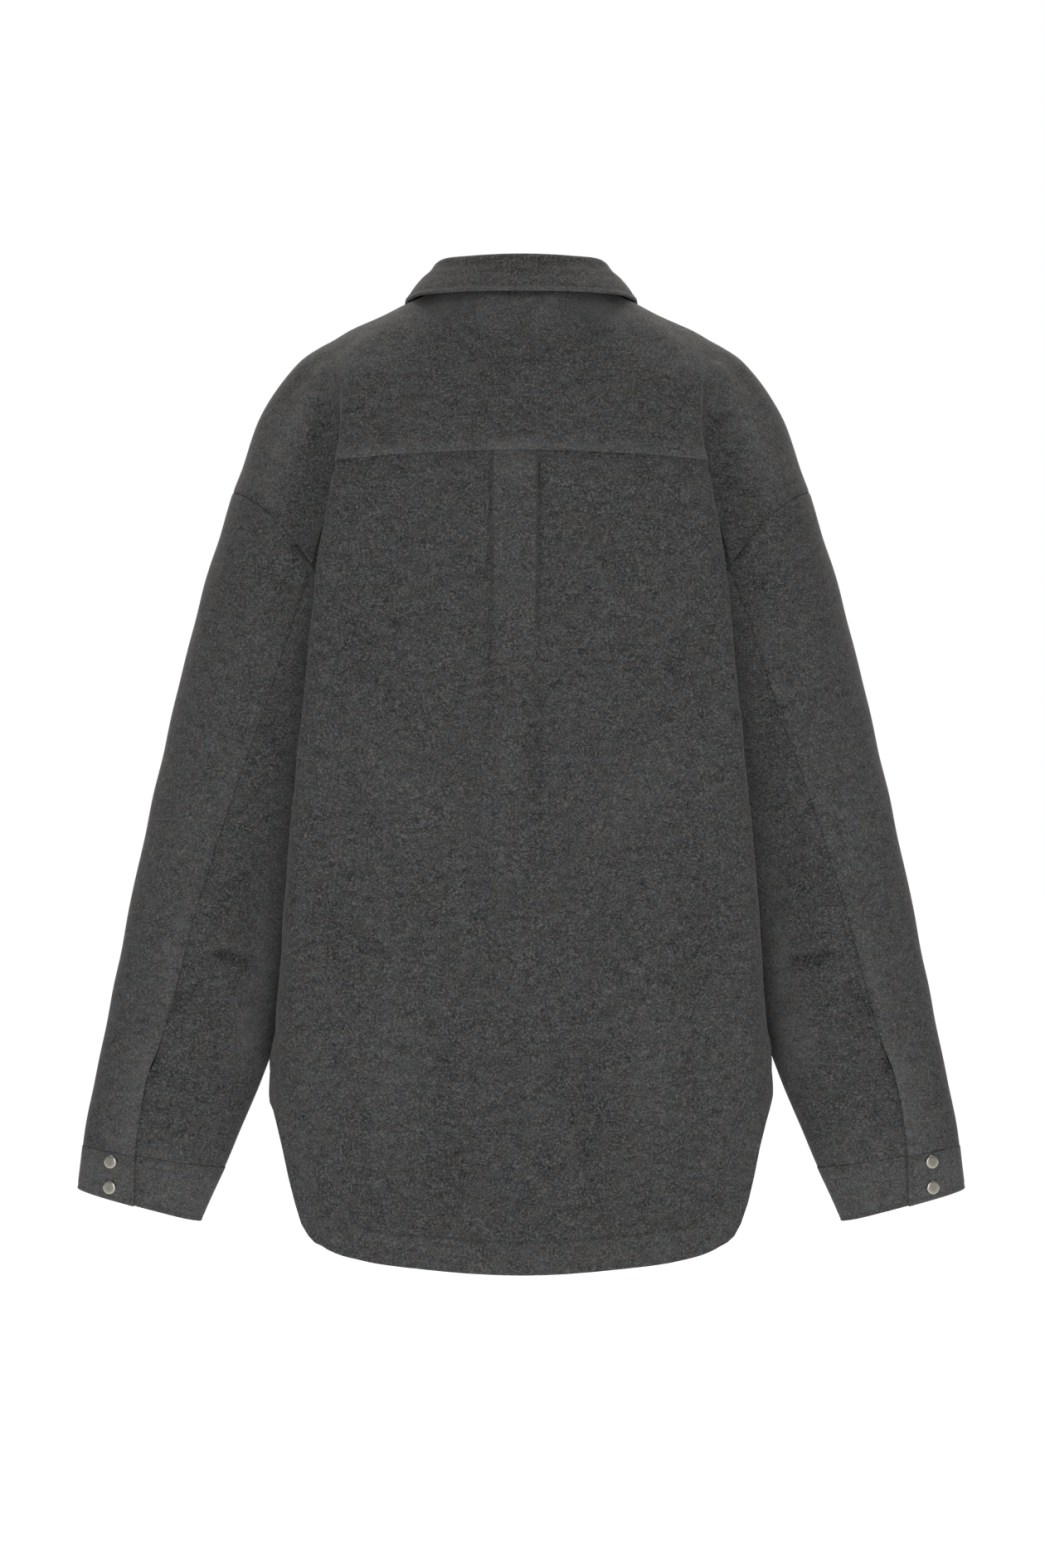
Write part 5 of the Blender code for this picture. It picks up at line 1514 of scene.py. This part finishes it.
# Stage
# A plain white floor under a white sky, soft lights above and before each side, and a level camera
# straight behind the shirt.
FLOOR_LEVEL = -1.05
FLOOR_REACH = 30.0
PAPER_GRAIN = 0.4
PAPER_GREYS = ((0.14, 0.14, 0.14, 1.0), (0.16, 0.16, 0.16, 1.0))
WHITE = (1.0, 1.0, 1.0, 1.0)
SKY_SEEN = 1.0
SKY_LIGHT = 0.30
CAMERA_PLACE = (-0.001, 4.5, -0.374)
CAMERA_LENS = 131.9
LIGHT_AIM = Vector((0.0, 0.0, -0.35))
LIGHTS = columns(
    "x y z size power warmth",
    (0.0, 4.6, 0.3, 3.6, 104.0, 0.00),
    (0.0, -1.1, 2.4, 3.0, 96.0, 0.10),
    (0.0, -4.6, 0.3, 2.6, 88.0, 0.00),
)


def white_paper(tree):
    """Matt white paper that is bright by itself, so that it shows no edge."""
    return {"Base Color": tree.place().noise(PAPER_GRAIN, 2.0, 0.5).blend(*PAPER_GREYS)}


floor_mesh = bpy.data.meshes.new("floor")
corners = ((-1, -1), (1, -1), (1, 1), (-1, 1))
floor_points = [(x * FLOOR_REACH, y * FLOOR_REACH, FLOOR_LEVEL) for x, y in corners]
floor_mesh.from_pydata(floor_points, [], [(0, 1, 2, 3)])
paper_glow = {"Emission_Color": WHITE, "Emission_Strength": 1.0}
paper = material("white_paper", white_paper, Roughness=0.9, Specular_IOR_Level=0.0, **paper_glow)
floor_mesh.materials.append(paper)
add_object("floor", floor_mesh)

sky = bpy.data.worlds.new("white_sky")
sky.use_nodes = True
sky.node_tree.nodes.clear()
sky_tree = Shade(sky.node_tree)
seen = sky_tree.node("ShaderNodeBackground", {}, {"Color": WHITE, "Strength": SKY_SEEN})
lit = sky_tree.node("ShaderNodeBackground", {}, {"Color": WHITE, "Strength": SKY_LIGHT})
by_eye = sky_tree.node("ShaderNodeLightPath", {}, {}, "Is Camera Ray")
mixed = sky_tree.node("ShaderNodeMixShader", {}, {0: by_eye, 1: lit, 2: seen})
world_output = sky.node_tree.nodes.new("ShaderNodeOutputWorld")
sky.node_tree.links.new(mixed.socket, world_output.inputs["Surface"])
bpy.context.scene.world = sky

for number, (x, y, z, size, power, warmth) in enumerate(zip(*LIGHTS.values()), 1):
    lamp = bpy.data.lights.new(f"soft_light_{number}", "AREA")
    lamp.size = size
    lamp.energy = power
    lamp.color = (1.0, 1.0 - warmth * 0.5, 1.0 - warmth)
    light = bpy.data.objects.new(lamp.name, lamp)
    light.location = (x, y, z)
    light.rotation_euler = (LIGHT_AIM - light.location).to_track_quat("-Z", "Y").to_euler()
    bpy.context.scene.collection.objects.link(light)

lens = bpy.data.cameras.new("camera")
lens.lens = CAMERA_LENS
camera = bpy.data.objects.new("camera", lens)
camera.location = CAMERA_PLACE
camera.rotation_euler = (math.pi / 2, 0.0, math.pi)
bpy.context.scene.collection.objects.link(camera)
bpy.context.scene.camera = camera
bpy.context.scene.view_settings.view_transform = "Standard"
